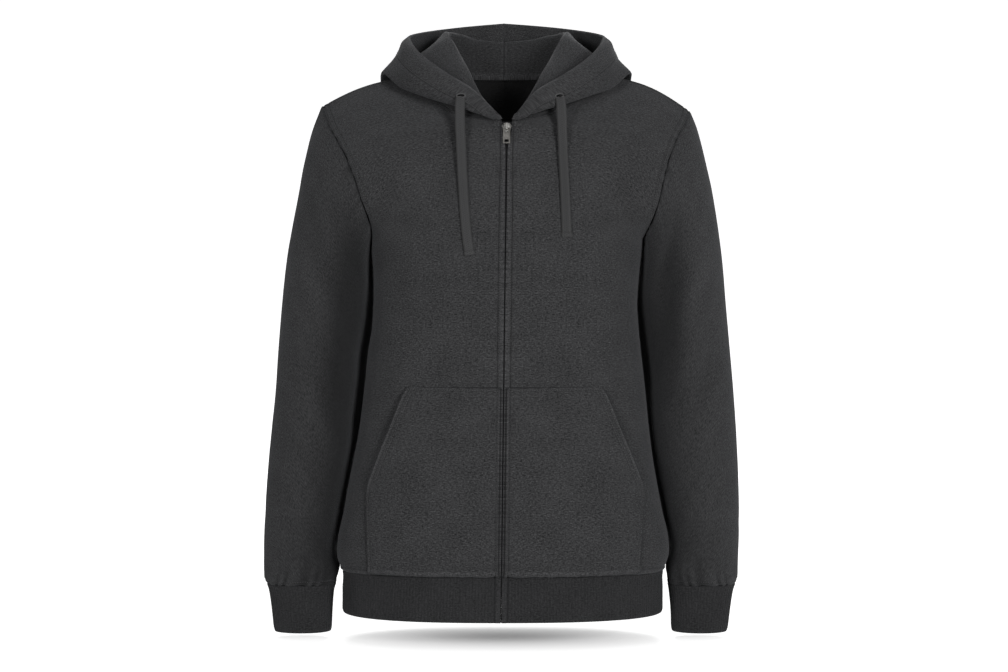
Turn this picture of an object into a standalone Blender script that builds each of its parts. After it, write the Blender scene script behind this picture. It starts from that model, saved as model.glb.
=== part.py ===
"""A full-zip hooded sweatshirt of brushed fleece, filled out as if worn, with no wearer.

The garment is built from the pieces that are cut and sewn: two fronts, a back, two set-in sleeves,
ribbed cuffs and hem, a two-panel hood that lies back, two halves of a kangaroo pocket, a zip and
two flat drawcords. Units are metres, +Z is up and the front faces -Y. The origin is the middle of
the neck base at the height of the shoulders' highest points. Left and right are as seen from the
front, so left is -X.

Each piece is a wall. Its outer points are worked out from sections of the body, and its inner points
lie one thickness behind them, along normals that neighbouring pieces share at their seam.
"""
import math

import bpy
import numpy as np
from mathutils import Vector
from mathutils.bvhtree import BVHTree

# ---- driving dimensions -------------------------------------------------------------------------

FLEECE = 0.0020          # wall of the body and the sleeves
HOOD_WALL = 0.0028       # wall of the hood, which is two layers
RIB_WALL = 0.0020        # wall of the cuffs and the hem
RIB_RAISE = 0.0006       # height of a rib over its groove
SEAM_BACK = 0.00018      # how far each piece stays back from its seam
UNDERARM_SPACE = 0.0014  # space between body and sleeve where their seam folds in
SLEEVE_CLEAR = 0.0026    # space between the body's side and the sleeve beside it
SLEEVE_TUCK = 0.019      # how far the inner side's back half is pressed in, behind the body
SLEEVE_TUCK_BACK = 0.035         # the depth at which it is in full
SLEEVE_TUCK_ROWS = (0, 1.5, 10, 12)      # the rows between which it sets in and fades out

SQUARENESS = 2.5         # power of the oval that the body's sections follow, 2 is an ellipse
SLEEVE_SQUARENESS = 2.15

PANEL_COLUMNS = 12       # from the zip, or the centre back, to the side seam
ARMHOLE_ROWS = 11        # from the underarm point to the shoulder tip
FRONT_NECK_ROW = 6       # rows over the underarm at which the front neckline starts
BACK_NECK_ROW = 7        # the same on the back

ZIP_TOP_X = 0.0034       # the zip line leans a little to the left on its way down
ZIP_TOP_Z = -0.0700
ZIP_LEAN = 0.0117        # sideways run for each metre of height

HEM_SEAM_MIDDLE = -0.6145
HEM_SEAM_SIDE = -0.6205
HEM_HALFWAY = -0.6420
HEM_BOTTOM = -0.6705

# Half widths of the body, to the left and right side seams.
SIDE_COLUMNS = ("height", "left", "right")
SIDE_ROWS = (
    (-0.6705, 0.2006, 0.1970),
    (-0.6420, 0.2004, 0.1970),
    (-0.6205, 0.2008, 0.1978),
    (-0.6110, 0.2050, 0.2015),
    (-0.5975, 0.2078, 0.2053),
    (-0.5550, 0.2008, 0.1988),
    (-0.5075, 0.1925, 0.1894),
    (-0.4520, 0.1813, 0.1813),
    (-0.3970, 0.1743, 0.1759),
    (-0.3600, 0.1715, 0.1718),
    (-0.3210, 0.1650, 0.1680),
    (-0.2890, 0.1625, 0.1660),
    (-0.2490, 0.1630, 0.1690),
    (-0.2180, 0.1655, 0.1735),
)

# How far the centre front and the centre back lie from the side seams' plane.
MIDDLE_COLUMNS = ("height", "front", "back")
MIDDLE_ROWS = (
    (-0.6705, 0.1250, 0.1150),
    (-0.6420, 0.1240, 0.1140),
    (-0.6205, 0.1228, 0.1128),
    (-0.6110, 0.1265, 0.1170),
    (-0.5975, 0.1290, 0.1200),
    (-0.5550, 0.1255, 0.1160),
    (-0.5075, 0.1205, 0.1075),
    (-0.4520, 0.1170, 0.1000),
    (-0.3970, 0.1165, 0.0975),
    (-0.3600, 0.1175, 0.0985),
    (-0.3210, 0.1200, 0.1020),
    (-0.2890, 0.1225, 0.1060),
    (-0.2490, 0.1248, 0.1105),
    (-0.2180, 0.1250, 0.1125),
    (-0.1900, 0.1220, 0.1130),
    (-0.1500, 0.1148, 0.1105),
    (-0.1100, 0.1035, 0.1050),
    (-0.0705, 0.0885, 0.0970),
    (-0.0300, 0.0740, 0.0860),
    (0.0017, 0.0600, 0.0750),
)

# Heights of the panels' rows under the armhole, from the hem seam up.
PANEL_HEIGHTS = (-0.611, -0.598, -0.576, -0.548, -0.5225, -0.480, -0.440, -0.391, -0.350, -0.318,
                 -0.285, -0.252)
UNDERARM_MIDDLE = -0.224

# The armhole, from the underarm point to the shoulder tip.
ARMHOLE_COLUMNS = ("left", "left_height", "right", "right_height", "front", "back")
ARMHOLE_TABLE = (
    (0.1655, -0.2250, 0.1730, -0.2180, 0.000, 0.000),
    (0.1632, -0.2165, 0.1718, -0.2120, 0.022, 0.027),
    (0.1622, -0.1965, 0.1756, -0.2005, 0.054, 0.064),
    (0.1705, -0.1726, 0.1838, -0.1802, 0.075, 0.087),
    (0.1800, -0.1438, 0.1913, -0.1534, 0.078, 0.090),
    (0.1882, -0.1238, 0.1978, -0.1277, 0.070, 0.082),
    (0.1973, -0.1031, 0.2060, -0.1031, 0.056, 0.066),
    (0.2107, -0.0814, 0.2170, -0.0800, 0.037, 0.043),
    (0.2200, -0.0625, 0.2267, -0.0645, 0.020, 0.022),
    (0.2275, -0.0425, 0.2325, -0.0485, 0.000, 0.000),
)
SHOULDER_CROWN = {-1: 0.0095, 1: 0.0145}   # how far the shoulder seam rises over a straight line

# Heights of the zip edge's rows over the underarm, and half the opening there. The edges part round
# the slider.
ZIP_EDGE_COLUMNS = ("height", "half_opening")
ZIP_EDGE_ROWS = (
    (-0.190, 0.0012),
    (-0.155, 0.0012),
    (-0.122, 0.0012),
    (-0.097, 0.0013),
    (-0.088, 0.0068),
    (-0.0705, 0.0068),
)
ZIP_HALF_OPENING = 0.0012
BACK_MIDDLE_HEIGHTS = (-0.190, -0.158, -0.126, -0.094, -0.062, -0.030, 0.0017)

# The neckline from the zip, and from the centre back, to the shoulder seam: across, along, height.
FRONT_NECK = (
    (0.0340, -0.0845, -0.0665),
    (0.0610, -0.0680, -0.0565),
    (0.0775, -0.0505, -0.0410),
    (0.0850, -0.0260, -0.0200),
    (0.0850, 0.0000, 0.0000),
)
BACK_NECK = (
    (0.0260, 0.0710, 0.0014),
    (0.0500, 0.0580, 0.0008),
    (0.0710, 0.0330, 0.0003),
    (0.0850, 0.0000, 0.0000),
)

# The sleeves: the outer edge, the height of the inner edge, and the depths to the front and back.
SLEEVE_COLUMNS = ("left", "left_height", "right", "right_height", "inner_height", "front", "back")
SLEEVE_ROWS = (
    (0.2275, -0.0425, 0.2325, -0.0485, -0.2215, 0.078, 0.090),
    (0.2415, -0.0780, 0.2440, -0.0780, -0.2480, 0.080, 0.090),
    (0.2525, -0.1270, 0.2550, -0.1270, -0.2830, 0.080, 0.087),
    (0.2615, -0.1790, 0.2642, -0.1790, -0.3170, 0.077, 0.082),
    (0.2700, -0.2350, 0.2718, -0.2350, -0.3560, 0.073, 0.076),
    (0.2765, -0.2900, 0.2765, -0.2900, -0.3970, 0.069, 0.071),
    (0.2812, -0.3450, 0.2815, -0.3450, -0.4360, 0.065, 0.065),
    (0.2850, -0.4000, 0.2862, -0.4000, -0.4750, 0.061, 0.059),
    (0.2908, -0.4550, 0.2900, -0.4550, -0.5130, 0.057, 0.052),
    (0.2958, -0.5130, 0.2926, -0.5130, -0.5520, 0.053, 0.046),
    (0.2990, -0.5680, 0.2934, -0.5650, -0.5890, 0.048, 0.040),
    (0.2997, -0.6080, 0.2921, -0.6080, -0.6150, 0.044, 0.036),
    (0.2992, -0.6280, 0.2913, -0.6280, -0.6300, 0.041, 0.033),
    (0.2962, -0.6380, 0.2890, -0.6380, -0.6380, 0.037, 0.030),
)
SLEEVE_END_INNER = {-1: (0.2085, 0.2095), 1: (0.2035, 0.2042)}   # inner edge of the last two rings

# The cuffs, from the sleeve's end down.
CUFF_COLUMNS = ("height", "left", "left_inner", "right", "right_inner", "front", "back")
CUFF_ROWS = (
    (-0.6380, 0.2958, 0.2100, 0.2886, 0.2046, 0.0362, 0.0292),
    (-0.6480, 0.2926, 0.2130, 0.2852, 0.2064, 0.0340, 0.0270),
    (-0.6680, 0.2898, 0.2146, 0.2822, 0.2084, 0.0310, 0.0250),
    (-0.6975, 0.2865, 0.2158, 0.2784, 0.2094, 0.0290, 0.0235),
)
CUFF_INNER_COLUMNS = 14
CUFF_STEPS_A_COLUMN = 6
HEM_COLUMNS_A_QUARTER = 17
HEM_STEPS_A_COLUMN = 5

# Folds of the sleeves, seen from the front: x and z of the start, x and z of the end, the width and
# the depth. A depth under nought is a ridge.
FOLDS = {
    -1: (
        (0.1830, -0.1950, 0.1700, -0.2500, 0.013, 0.0070),
        (0.2320, -0.3200, 0.1960, -0.4300, 0.020, 0.0060),
        (0.2560, -0.2300, 0.2420, -0.3300, 0.018, -0.0030),
        (0.2700, -0.6000, 0.2250, -0.6040, 0.012, 0.0030),
        (0.2500, -0.1500, 0.2150, -0.2600, 0.018, 0.0035),
    ),
    1: (
        (0.2150, -0.1930, 0.1830, -0.3800, 0.018, 0.0070),
        (0.2390, -0.1480, 0.2160, -0.2180, 0.016, -0.0040),
        (0.2440, -0.2330, 0.2250, -0.3050, 0.016, -0.0030),
        (0.2500, -0.3400, 0.2150, -0.4700, 0.018, 0.0040),
        (0.2650, -0.6050, 0.2150, -0.6120, 0.012, 0.0030),
    ),
}

# The hood, from the neck seam over its inner ridge, through the fold behind it, round the roll or
# the pouch and up to the face edge. A row for each section from the zip to the centre back.
HOOD_HEADINGS = ("ridge", "trough", "fold", "belly", "edge")
HOOD_KEYS = (0.0, 3.0, 7.0, 12.0, 16.0, 22.0)
HOOD_SECTIONS = {
    "station": (0, 1, 2, 3.4, 5, 6.6, 8, 9),
    "ridge": ((0.0082, -0.0868, -0.0590), (0.0290, -0.0700, -0.0410), (0.0440, -0.0440, -0.0100),
              (0.0560, -0.0080, 0.0200), (0.0680, 0.0260, 0.0500), (0.0700, 0.0600, 0.0580),
              (0.0420, 0.0890, 0.0540), (0.0000, 0.0980, 0.0517)),
    "trough": ((0.0080, -0.0905, -0.0562), (0.0310, -0.0835, -0.0470), (0.0560, -0.0620, -0.0240),
               (0.0800, -0.0330, -0.0040), (0.0960, 0.0140, 0.0100), (0.0880, 0.0740, -0.0080),
               (0.0480, 0.0940, -0.0380), (0.0000, 0.0985, -0.0500)),
    "fold": ((0.0076, -0.0950, -0.0590), (0.0340, -0.1000, -0.0625), (0.0720, -0.0800, -0.0480),
             (0.1190, -0.0450, -0.0300), (0.1530, -0.0020, -0.0050), (0.1340, 0.0980, -0.0850),
             (0.0760, 0.1220, -0.1600), (0.0000, 0.1300, -0.1880)),
    "belly": ((0.0072, -0.0970, -0.0635), (0.0345, -0.1040, -0.0540), (0.0745, -0.0870, -0.0370),
              (0.1200, -0.0560, -0.0150), (0.1385, 0.0000, 0.0150), (0.1400, 0.1020, -0.0150),
              (0.0820, 0.1500, -0.0950), (0.0000, 0.1640, -0.1100)),
    "edge": ((0.0068, -0.0975, -0.0685), (0.0327, -0.0920, -0.0418), (0.0679, -0.0800, -0.0240),
             (0.1000, -0.0530, 0.0020), (0.1184, -0.0100, 0.0350), (0.1160, 0.0450, 0.0560),
             (0.0600, 0.1120, 0.0740), (0.0000, 0.1400, 0.0833)),
}
HOOD_RESTS = 8                # the first row, past the ridge, that may rest on the body
HOOD_STAND = 0.0062           # the middle of its wall over the body
HOOD_WIDER_RIGHT = 0.006      # the right side of the hood lies this much further out
HOOD_ROWS = (0, 1.0, 1.8, 2.4, 2.8, 3.2, 3.7, 4.5, 5.7, 7.0, 8.6, 10.2, 11.2, 11.8, 12.3, 12.9, 13.8,
             15.2, 16.8, 18.6, 20.4, 22.0)

# The pocket halves' outer edge: the hem, the foot of the slanted mouth and its top corner. Each row is
# the distance across and the height.
POCKET_OUTLINE = {
    -1: ((0.1630, -0.6145), (0.1661, -0.5225), (0.1152, -0.3910)),
    1: ((0.1623, -0.6145), (0.1695, -0.5225), (0.1170, -0.3910)),
}
POCKET_SPACE = 0.0015      # space behind the pocket
POCKET_MOUTH = 0.0028      # how much further its mouth stands off
POCKET_ZIP_EDGE = 0.0030   # from the zip line to the pocket's edge
POCKET_ROWS = 9            # it covers this many of the panel's rows
POCKET_COLUMNS = 11
MOUTH_FADE = 0.02          # height over which the mouth's standing off sets in

TAPE_HALF = 0.0140         # zip tape, from the zip line to its far edge
TAPE_DEPTH = (0.0024, 0.0034)
CHAIN_HALF = 0.0020
TAPE_GAP = 0.0008
CHAIN_DEPTH = (0.0024, 0.0042)
CHAIN_END = 0.0006         # from the slider's middle down to the closed chain's end

SLIDER_HEIGHT = -0.0790
SLIDER_LENGTH = 0.0115
SLIDER_WIDTH_TOP = 0.0118
SLIDER_WIDTH_END = 0.0086
SLIDER_FRONT = (0.0016, 0.0002)      # depths under the cloth's surface
SLIDER_BACK = (0.0046, 0.0057)
BAIL_WIDTH = 0.0030
BAIL_WALL = 0.0011
BAIL_RISE = 0.0036
BAIL_TOP = 0.0044
BAIL_END = -0.0040
TAB_WIDTH = 0.0092
TAB_LENGTH = 0.0215
TAB_WALL = 0.0012
TAB_PIVOT = -0.0018       # the tab's bar along the slider, from the slider's middle
TAB_STAND = 0.0010        # its middle plane over the slider
TAB_BAR = 0.0014
TAB_WINDOW_WIDTH = 0.0042
TAB_WINDOW_LENGTH = 0.0046
TAB_HOLE = (0.0050, 0.0036)
TAB_TILT = 3.0            # degrees that the tab stands out from the slider at rest

NECK_TAPE_HALF = 0.0030
NECK_TAPE_DEPTH = (0.0044, 0.0052)

# Middle lines of the flat drawcords, from the eyelet down, and their section.
CORD_WIDTH = 0.0104
CORD_WALL = 0.0024
CORD_ROUTES = {
    "drawcord_left": (
        (-0.0521, -0.1015, -0.0459), (-0.0528, -0.1030, -0.0545), (-0.0526, -0.1036, -0.0700),
        (-0.0520, -0.1036, -0.0880), (-0.0512, -0.1042, -0.1060), (-0.0503, -0.1062, -0.1240),
        (-0.0492, -0.1100, -0.1430), (-0.0480, -0.1152, -0.1620), (-0.0466, -0.1198, -0.1820),
        (-0.0450, -0.1230, -0.2000), (-0.0430, -0.1250, -0.2180), (-0.0404, -0.1258, -0.2341),
    ),
    "drawcord_right": (
        (0.0673, -0.0974, -0.0434), (0.0685, -0.0976, -0.0520), (0.0692, -0.0972, -0.0670),
        (0.0698, -0.0970, -0.0830), (0.0704, -0.0978, -0.1000), (0.0710, -0.1003, -0.1180),
        (0.0718, -0.1046, -0.1360), (0.0726, -0.1097, -0.1550), (0.0733, -0.1150, -0.1750),
        (0.0740, -0.1188, -0.1950), (0.0745, -0.1206, -0.2124),
    ),
}
CORD_STEPS = 22

CHARCOAL = (0.040, 0.041, 0.044, 1.0)
CHARCOAL_RIB = (0.034, 0.035, 0.038, 1.0)
CORD_GREY = (0.045, 0.046, 0.050, 1.0)
NICKEL = (0.62, 0.62, 0.63, 1.0)


# ---- tools for curves, walls and nodes ----------------------------------------------------------

def clear_scene():
    """Remove what the scene holds."""
    for thing in list(bpy.data.objects):
        bpy.data.objects.remove(thing, do_unlink=True)


def smooth_through(keys, values, at):
    """Values at the places `at` of a smooth curve through the rows of `values`, which lie at `keys`.

    Each stretch is a cubic whose end slopes are those of the parabola through a row and its two
    neighbours.
    """
    keys = np.asarray(keys, float)
    values = np.asarray(values, float).reshape(len(keys), -1)
    at = np.atleast_1d(np.asarray(at, float))
    step = np.diff(keys)[:, None]
    chord = np.diff(values, axis=0) / step
    slope = np.empty_like(values)
    slope[0] = chord[0]
    slope[-1] = chord[-1]
    slope[1:-1] = (chord[:-1] * step[1:] + chord[1:] * step[:-1]) / (step[:-1] + step[1:])
    place = np.clip(np.searchsorted(keys, at, side="right") - 1, 0, len(keys) - 2)
    span = step[place]
    t = ((at - keys[place]) / span[:, 0])[:, None]
    return ((2 * t**3 - 3 * t**2 + 1) * values[place] + (t**3 - 2 * t**2 + t) * span * slope[place]
            + (3 * t**2 - 2 * t**3) * values[place + 1] + (t**3 - t**2) * span * slope[place + 1])


def table(columns, rows):
    """A table's columns by name."""
    return dict(zip(columns, np.array(rows, float).T))


SIDE = table(SIDE_COLUMNS, SIDE_ROWS)
MIDDLE = table(MIDDLE_COLUMNS, MIDDLE_ROWS)
ARMHOLE = table(ARMHOLE_COLUMNS, ARMHOLE_TABLE)
SLEEVE = table(SLEEVE_COLUMNS, SLEEVE_ROWS)
CUFF = table(CUFF_COLUMNS, CUFF_ROWS)


def side_name(side):
    return "left" if side < 0 else "right"


def half_width(side, height):
    """Half the body's width at a height."""
    return smooth_through(SIDE["height"], SIDE[side_name(side)], height)[:, 0]


def middle_depth(face, height):
    """How far the centre front (face -1) or the centre back (face 1) lies from the side seams."""
    return smooth_through(MIDDLE["height"], MIDDLE["front" if face < 0 else "back"], height)[:, 0]


def zip_x(height):
    """Where the zip line lies at a height."""
    return ZIP_TOP_X + (height - ZIP_TOP_Z) * ZIP_LEAN


def unit(vectors):
    """The same directions at length one."""
    length = np.linalg.norm(vectors, axis=-1, keepdims=True)
    return vectors / np.maximum(length, 1e-12)


def section_row(inner, outer, power, crown, columns):
    """Points of one section from its middle to its side, evenly spaced.

    A quarter of a superellipse of the given power: power 1 is a straight line. The height runs
    evenly from one end to the other, and a crown lifts it in between.
    """
    angle = np.linspace(0, math.pi / 2, 121)
    across = np.sin(angle) ** (2 / power)
    along = 1 - np.cos(angle) ** (2 / power)
    flat = np.stack([inner[0] + (outer[0] - inner[0]) * across,
                     inner[1] + (outer[1] - inner[1]) * along], axis=1)
    run = np.concatenate([[0], np.cumsum(np.linalg.norm(np.diff(flat, axis=0), axis=1))])
    share = run / run[-1]
    even = np.linspace(0, 1, columns + 1)
    x = np.interp(even, share, flat[:, 0])
    y = np.interp(even, share, flat[:, 1])
    z = inner[2] + (outer[2] - inner[2]) * even + crown * np.sin(math.pi * even**1.25)
    return np.stack([x, y, z], axis=1)


def grid_normals(grid, closed=False):
    """Outward normals of a grid whose rows run up and whose columns run on the left-hand way."""
    around = np.roll(grid, -1, axis=1) - np.roll(grid, 1, axis=1) if closed else np.gradient(grid, axis=1)
    up = np.gradient(grid, axis=0)
    return unit(np.cross(around, up))


def drawn_back(edge, normals, beside, amount):
    """Shifts that take an edge's points into their own piece, square to the edge and in its surface."""
    along = unit(np.gradient(edge, axis=0))
    into = unit(np.cross(normals, along))
    way = np.sign(np.sum(into * (beside - edge), axis=1, keepdims=True))
    return into * way * amount


def grid_faces(rows, columns, closed=False, first=0):
    """Four-sided faces of a grid of points, row by row."""
    wide = columns if closed else columns - 1
    faces = []
    for row in range(rows - 1):
        for column in range(wide):
            after = (column + 1) % columns
            here = first + row * columns
            faces.append((here + column, here + after, here + columns + after, here + columns + column))
    return faces


def weld(points, faces):
    """Join points that lie within a hundredth of a millimetre."""
    found = {}
    place = []
    kept = []
    for point in points:
        key = tuple(np.round(point * 1e5).astype(int))
        if key not in found:
            found[key] = len(kept)
            kept.append(point)
        place.append(found[key])
    return np.array(kept), np.array(place), [tuple(place[i] for i in face) for face in faces]


def wall_from(outer, inner, faces):
    """Close a wall: its outer faces, its inner faces the other way round, and its rims."""
    count = len(outer)
    edges = {}
    for face in faces:
        for a, b in zip(face, face[1:] + face[:1]):
            edges[(a, b)] = True
    rim = [(b, a, a + count, b + count) for a, b in edges if (b, a) not in edges]
    back = [tuple(i + count for i in reversed(face)) for face in faces]
    return np.concatenate([outer, inner]), list(faces) + back + rim


def fabric(name, colour, roughness=0.95):
    """A cloth's material."""
    material = bpy.data.materials.new(name)
    material.use_nodes = True
    shader = material.node_tree.nodes["Principled BSDF"]
    shader.inputs["Base Color"].default_value = colour
    shader.inputs["Roughness"].default_value = roughness
    material.diffuse_color = colour
    return material


def metal(name, colour):
    """A bright metal's material."""
    material = fabric(name, colour, 0.28)
    material.node_tree.nodes["Principled BSDF"].inputs["Metallic"].default_value = 1.0
    return material


def node(name, points, faces, material, smooth=True):
    """Make one named piece from its points and faces."""
    mesh = bpy.data.meshes.new(name)
    mesh.from_pydata([tuple(p) for p in points], [], [tuple(f) for f in faces])
    mesh.validate()
    mesh.update()
    if smooth:
        mesh.shade_smooth()
        mesh.set_sharp_from_angle(angle=math.radians(50))
    mesh.materials.append(material)
    piece = bpy.data.objects.new(name, mesh)
    bpy.context.scene.collection.objects.link(piece)
    return piece


# ---- the body: fronts and back ------------------------------------------------------------------

def armhole_points(side, face):
    """The armhole's points from the underarm to the shoulder tip, evenly spaced."""
    name = side_name(side)
    x = side * ARMHOLE[name]
    y = face * ARMHOLE["front" if face < 0 else "back"]
    z = ARMHOLE[name + "_height"]
    rows = np.stack([x, y, z], axis=1)
    run = np.concatenate([[0], np.cumsum(np.linalg.norm(np.diff(rows, axis=0), axis=1))])
    return smooth_through(run, rows, np.linspace(0, run[-1], ARMHOLE_ROWS + 1))


def neckline_points(side, face):
    """The neckline's points beyond its middle, up to the shoulder seam."""
    rows = np.array(FRONT_NECK if face < 0 else BACK_NECK)
    return rows * (side, 1, 1)


def middle_points(side, face):
    """A panel's middle edge over the underarm row: the zip edge, or the centre back."""
    if face < 0:
        edge = table(ZIP_EDGE_COLUMNS, ZIP_EDGE_ROWS)
        height = edge["height"]
        x = zip_x(height) + side * edge["half_opening"]
    else:
        height = np.array(BACK_MIDDLE_HEIGHTS)
        x = np.zeros(len(height))
    return np.stack([x, face * middle_depth(face, height), height], axis=1)


def panel_grid(side, face):
    """Outer points of a quarter of the body: rows from the hem seam up, columns from the middle out."""
    rows = []
    heights = (HEM_SEAM_MIDDLE,) + PANEL_HEIGHTS
    for place, height in enumerate(heights):
        low = HEM_SEAM_SIDE if place == 0 else height
        x = zip_x(height) + side * ZIP_HALF_OPENING if face < 0 else 0.0
        depth = middle_depth(face, HEM_SEAM_SIDE if place == 0 else height)[0]
        inner = (x, face * depth, height)
        outer = (side * half_width(side, low)[0], 0.0, low)
        rows.append(section_row(inner, outer, SQUARENESS, 0.0, PANEL_COLUMNS))
    armhole = armhole_points(side, face)
    middle = middle_points(side, face)
    x = zip_x(UNDERARM_MIDDLE) + side * ZIP_HALF_OPENING if face < 0 else 0.0
    start = (x, face * middle_depth(face, UNDERARM_MIDDLE)[0], UNDERARM_MIDDLE)
    inner_edge = np.concatenate([[start], middle, neckline_points(side, face)])
    for place in range(ARMHOLE_ROWS + 1):
        share = place / ARMHOLE_ROWS
        power = 1 + (SQUARENESS - 1) * (1 - share) ** 0.8
        crown = SHOULDER_CROWN[side] * share**3
        rows.append(section_row(inner_edge[place], armhole[place], power, crown, PANEL_COLUMNS))
    return np.array(rows)


UNDERARM_ROW = len(PANEL_HEIGHTS) + 1


# ---- the sleeves --------------------------------------------------------------------------------

def oval_ring(outer, inner, front, back, count, power=SLEEVE_SQUARENESS):
    """A ring through an inner and an outer point, with its depths to the front and to the back.

    Its points start at the inner one and pass the front, the outer one and the back.
    """
    angle = np.linspace(0, 2 * math.pi, count, endpoint=False)
    cosine = np.sign(np.cos(angle)) * np.abs(np.cos(angle)) ** (2 / power)
    sine = np.sign(np.sin(angle)) * np.abs(np.sin(angle)) ** (2 / power)
    middle = (outer + inner) / 2
    arm = (inner - outer) / 2
    depth = np.where(sine > 0, -front, back) * np.abs(sine)
    ring = middle + cosine[:, None] * arm
    ring[:, 1] += depth
    return ring


def even_ring(ring, count):
    """The same ring with its points evenly spaced, and its first point kept."""
    closed = np.concatenate([ring, ring[:1]])
    run = np.concatenate([[0], np.cumsum(np.linalg.norm(np.diff(closed, axis=0), axis=1))])
    at = np.linspace(0, run[-1], count, endpoint=False)
    return np.stack([np.interp(at, run, closed[:, k]) for k in range(3)], axis=1)


def fold_depth(side, points):
    """How far the sleeve's folds press its surface in, for points seen from the front."""
    total = np.zeros(len(points))
    for fold in FOLDS[side]:
        start = np.array((side * fold[0], fold[1]))
        end = np.array((side * fold[2], fold[3]))
        flat = points[:, (0, 2)]
        line = end - start
        share = np.clip(((flat - start) @ line) / (line @ line), 0, 1)
        away = np.linalg.norm(flat - start - share[:, None] * line, axis=1)
        total += fold[5] * np.exp(-((away / fold[4]) ** 2)) * (0.55 + 0.45 * np.sin(math.pi * share))
    return total


def sleeve_grid(side, armhole_ring):
    """Outer points of a sleeve: rings from the armhole down."""
    name = side_name(side)
    count = len(armhole_ring)
    rings = []
    total = len(SLEEVE["left"])
    for place in range(total):
        outer = np.array((side * SLEEVE[name][place], 0.0, SLEEVE[name + "_height"][place]))
        height = SLEEVE["inner_height"][place]
        if place >= total - 2:
            inner_x = SLEEVE_END_INNER[side][place - total + 2]
        elif place == 0:
            inner_x = ARMHOLE[name][0]
            height = ARMHOLE[name + "_height"][0]
        else:
            inner_x = max(half_width(side, height)[0], half_width(side, height - 0.012)[0]) + SLEEVE_CLEAR
        inner = np.array((side * inner_x, 0.0, height))
        fine = oval_ring(outer, inner, SLEEVE["front"][place], SLEEVE["back"][place], count * 12)
        rings.append(even_ring(fine, count))
    offset = armhole_ring - rings[0]
    fade = (1.0, 0.45, 0.15)
    for place, share in enumerate(fade):
        rings[place] = rings[place] + offset * share
    grid = np.array(rings)
    middle = grid.mean(axis=1, keepdims=True)
    outward = unit(grid - middle)
    for place in range(1, total - 1):
        ring = grid[place]
        ring -= outward[place] * fold_depth(side, ring)[:, None] * min(1.0, place / 2)
        tuck_in(side, ring, SLEEVE_TUCK * np.interp(place, SLEEVE_TUCK_ROWS, (0, 1, 1, 0)))
        keep_clear(side, ring)
    return grid


def tuck_in(side, ring, amount):
    """Press the back half of a ring's inner side inwards, as it lies behind the body's side."""
    low, high = ring[:, 0].min(), ring[:, 0].max()
    inner_share = np.clip(side * ((low + high) / 2 - ring[:, 0]) * 2 / (high - low), 0, 1)
    back = np.clip(ring[:, 1] / SLEEVE_TUCK_BACK, 0, 1)
    ring[:, 0] -= side * amount * inner_share**2 * back**2 * (3 - 2 * back)


def keep_clear(side, ring):
    """Move a ring's points sideways until they are clear of the body beside them."""
    height = np.minimum(ring[:, 2], SIDE["height"][-1])
    depth = np.where(ring[:, 1] < 0, middle_depth(-1, height), middle_depth(1, height))
    share = np.clip(1 - np.abs(ring[:, 1] / depth) ** SQUARENESS, 0, 1) ** (1 / SQUARENESS)
    least = np.where(share > 0, half_width(side, height) * share + SLEEVE_CLEAR, 0)
    ring[:, 0] = side * np.maximum(side * ring[:, 0], least)


def wall(name, grid, inner, faces, material):
    """Make a wall from its outer and its inner grid of points."""
    points, shape = wall_from(grid.reshape(-1, 3), inner.reshape(-1, 3), faces)
    node(name, points, shape, material)


def turned(faces, flip):
    """Faces as they are, or the other way round."""
    return [tuple(reversed(face)) for face in faces] if flip else faces


# ---- the hood -----------------------------------------------------------------------------------

def neck_curve(side):
    """The whole half neckline from the zip to the centre back, with its row of stations."""
    edge = table(ZIP_EDGE_COLUMNS, ZIP_EDGE_ROWS)
    height = edge["height"][-1]
    start = (zip_x(height) + side * edge["half_opening"][-1], -middle_depth(-1, height)[0], height)
    front = neckline_points(side, -1)
    back = neckline_points(side, 1)[:-1][::-1]
    height = BACK_MIDDLE_HEIGHTS[-1]
    end = (0.0, middle_depth(1, height)[0], height)
    points = np.concatenate([[start], front, back, [end]])
    stations = list(range(6)) + [5.5, 6, 6.5, 7, 7.5, 8, 8.5, 9]
    places = np.arange(len(points), dtype=float)
    return np.array(stations), np.stack([np.interp(stations, places, points[:, k]) for k in range(3)], axis=1)


def laid_on(points, tree, least):
    """Lift the points that lie less than `least` over a surface, square to it."""
    lifted = points.copy()
    for place, point in enumerate(points):
        spot, normal, _, _ = tree.find_nearest(Vector(point))
        height = (Vector(point) - spot).dot(normal)
        if height < least:
            lifted[place] = spot + normal * least
    return lifted


def hood_grid(side, body):
    """Middle points of a half of the hood: rows from the neck seam to the face edge, laid on the body
    where they would sink into it."""
    stations, seam = neck_curve(side)
    lines = [seam]
    for heading in HOOD_HEADINGS:
        rows = np.array(HOOD_SECTIONS[heading])
        if side > 0:
            wider = HOOD_WIDER_RIGHT * np.clip(rows[:, 0] / 0.06, 0, 1)
            rows[:, 0] += wider
        line = smooth_through(HOOD_SECTIONS["station"], rows, stations)
        lines.append(line * (side, 1, 1))
    lines = np.array(lines)
    lines[1:, 0, 0] += zip_x(ZIP_TOP_Z)
    grid = np.empty((len(HOOD_ROWS), len(stations), 3))
    for column in range(len(stations)):
        grid[:, column] = smooth_through(HOOD_KEYS, lines[:, column], HOOD_ROWS)
        if column > 0:
            grid[HOOD_RESTS:, column] = laid_on(grid[HOOD_RESTS:, column], body, HOOD_STAND)
    grid[HOOD_RESTS:, -1, 0] = 0
    return grid


def body_surface(grids):
    """The fronts' and the back's outer surface, to lay the hood on."""
    points = []
    faces = []
    for (_, side, face), grid in grids.items():
        rows, columns = grid.shape[:2]
        faces += turned(grid_faces(rows, columns, first=len(points)), side * face > 0)
        points += [tuple(point) for point in grid.reshape(-1, 3)]
    return BVHTree.FromPolygons(points, faces)


# ---- everything that is sewn together -----------------------------------------------------------

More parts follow.
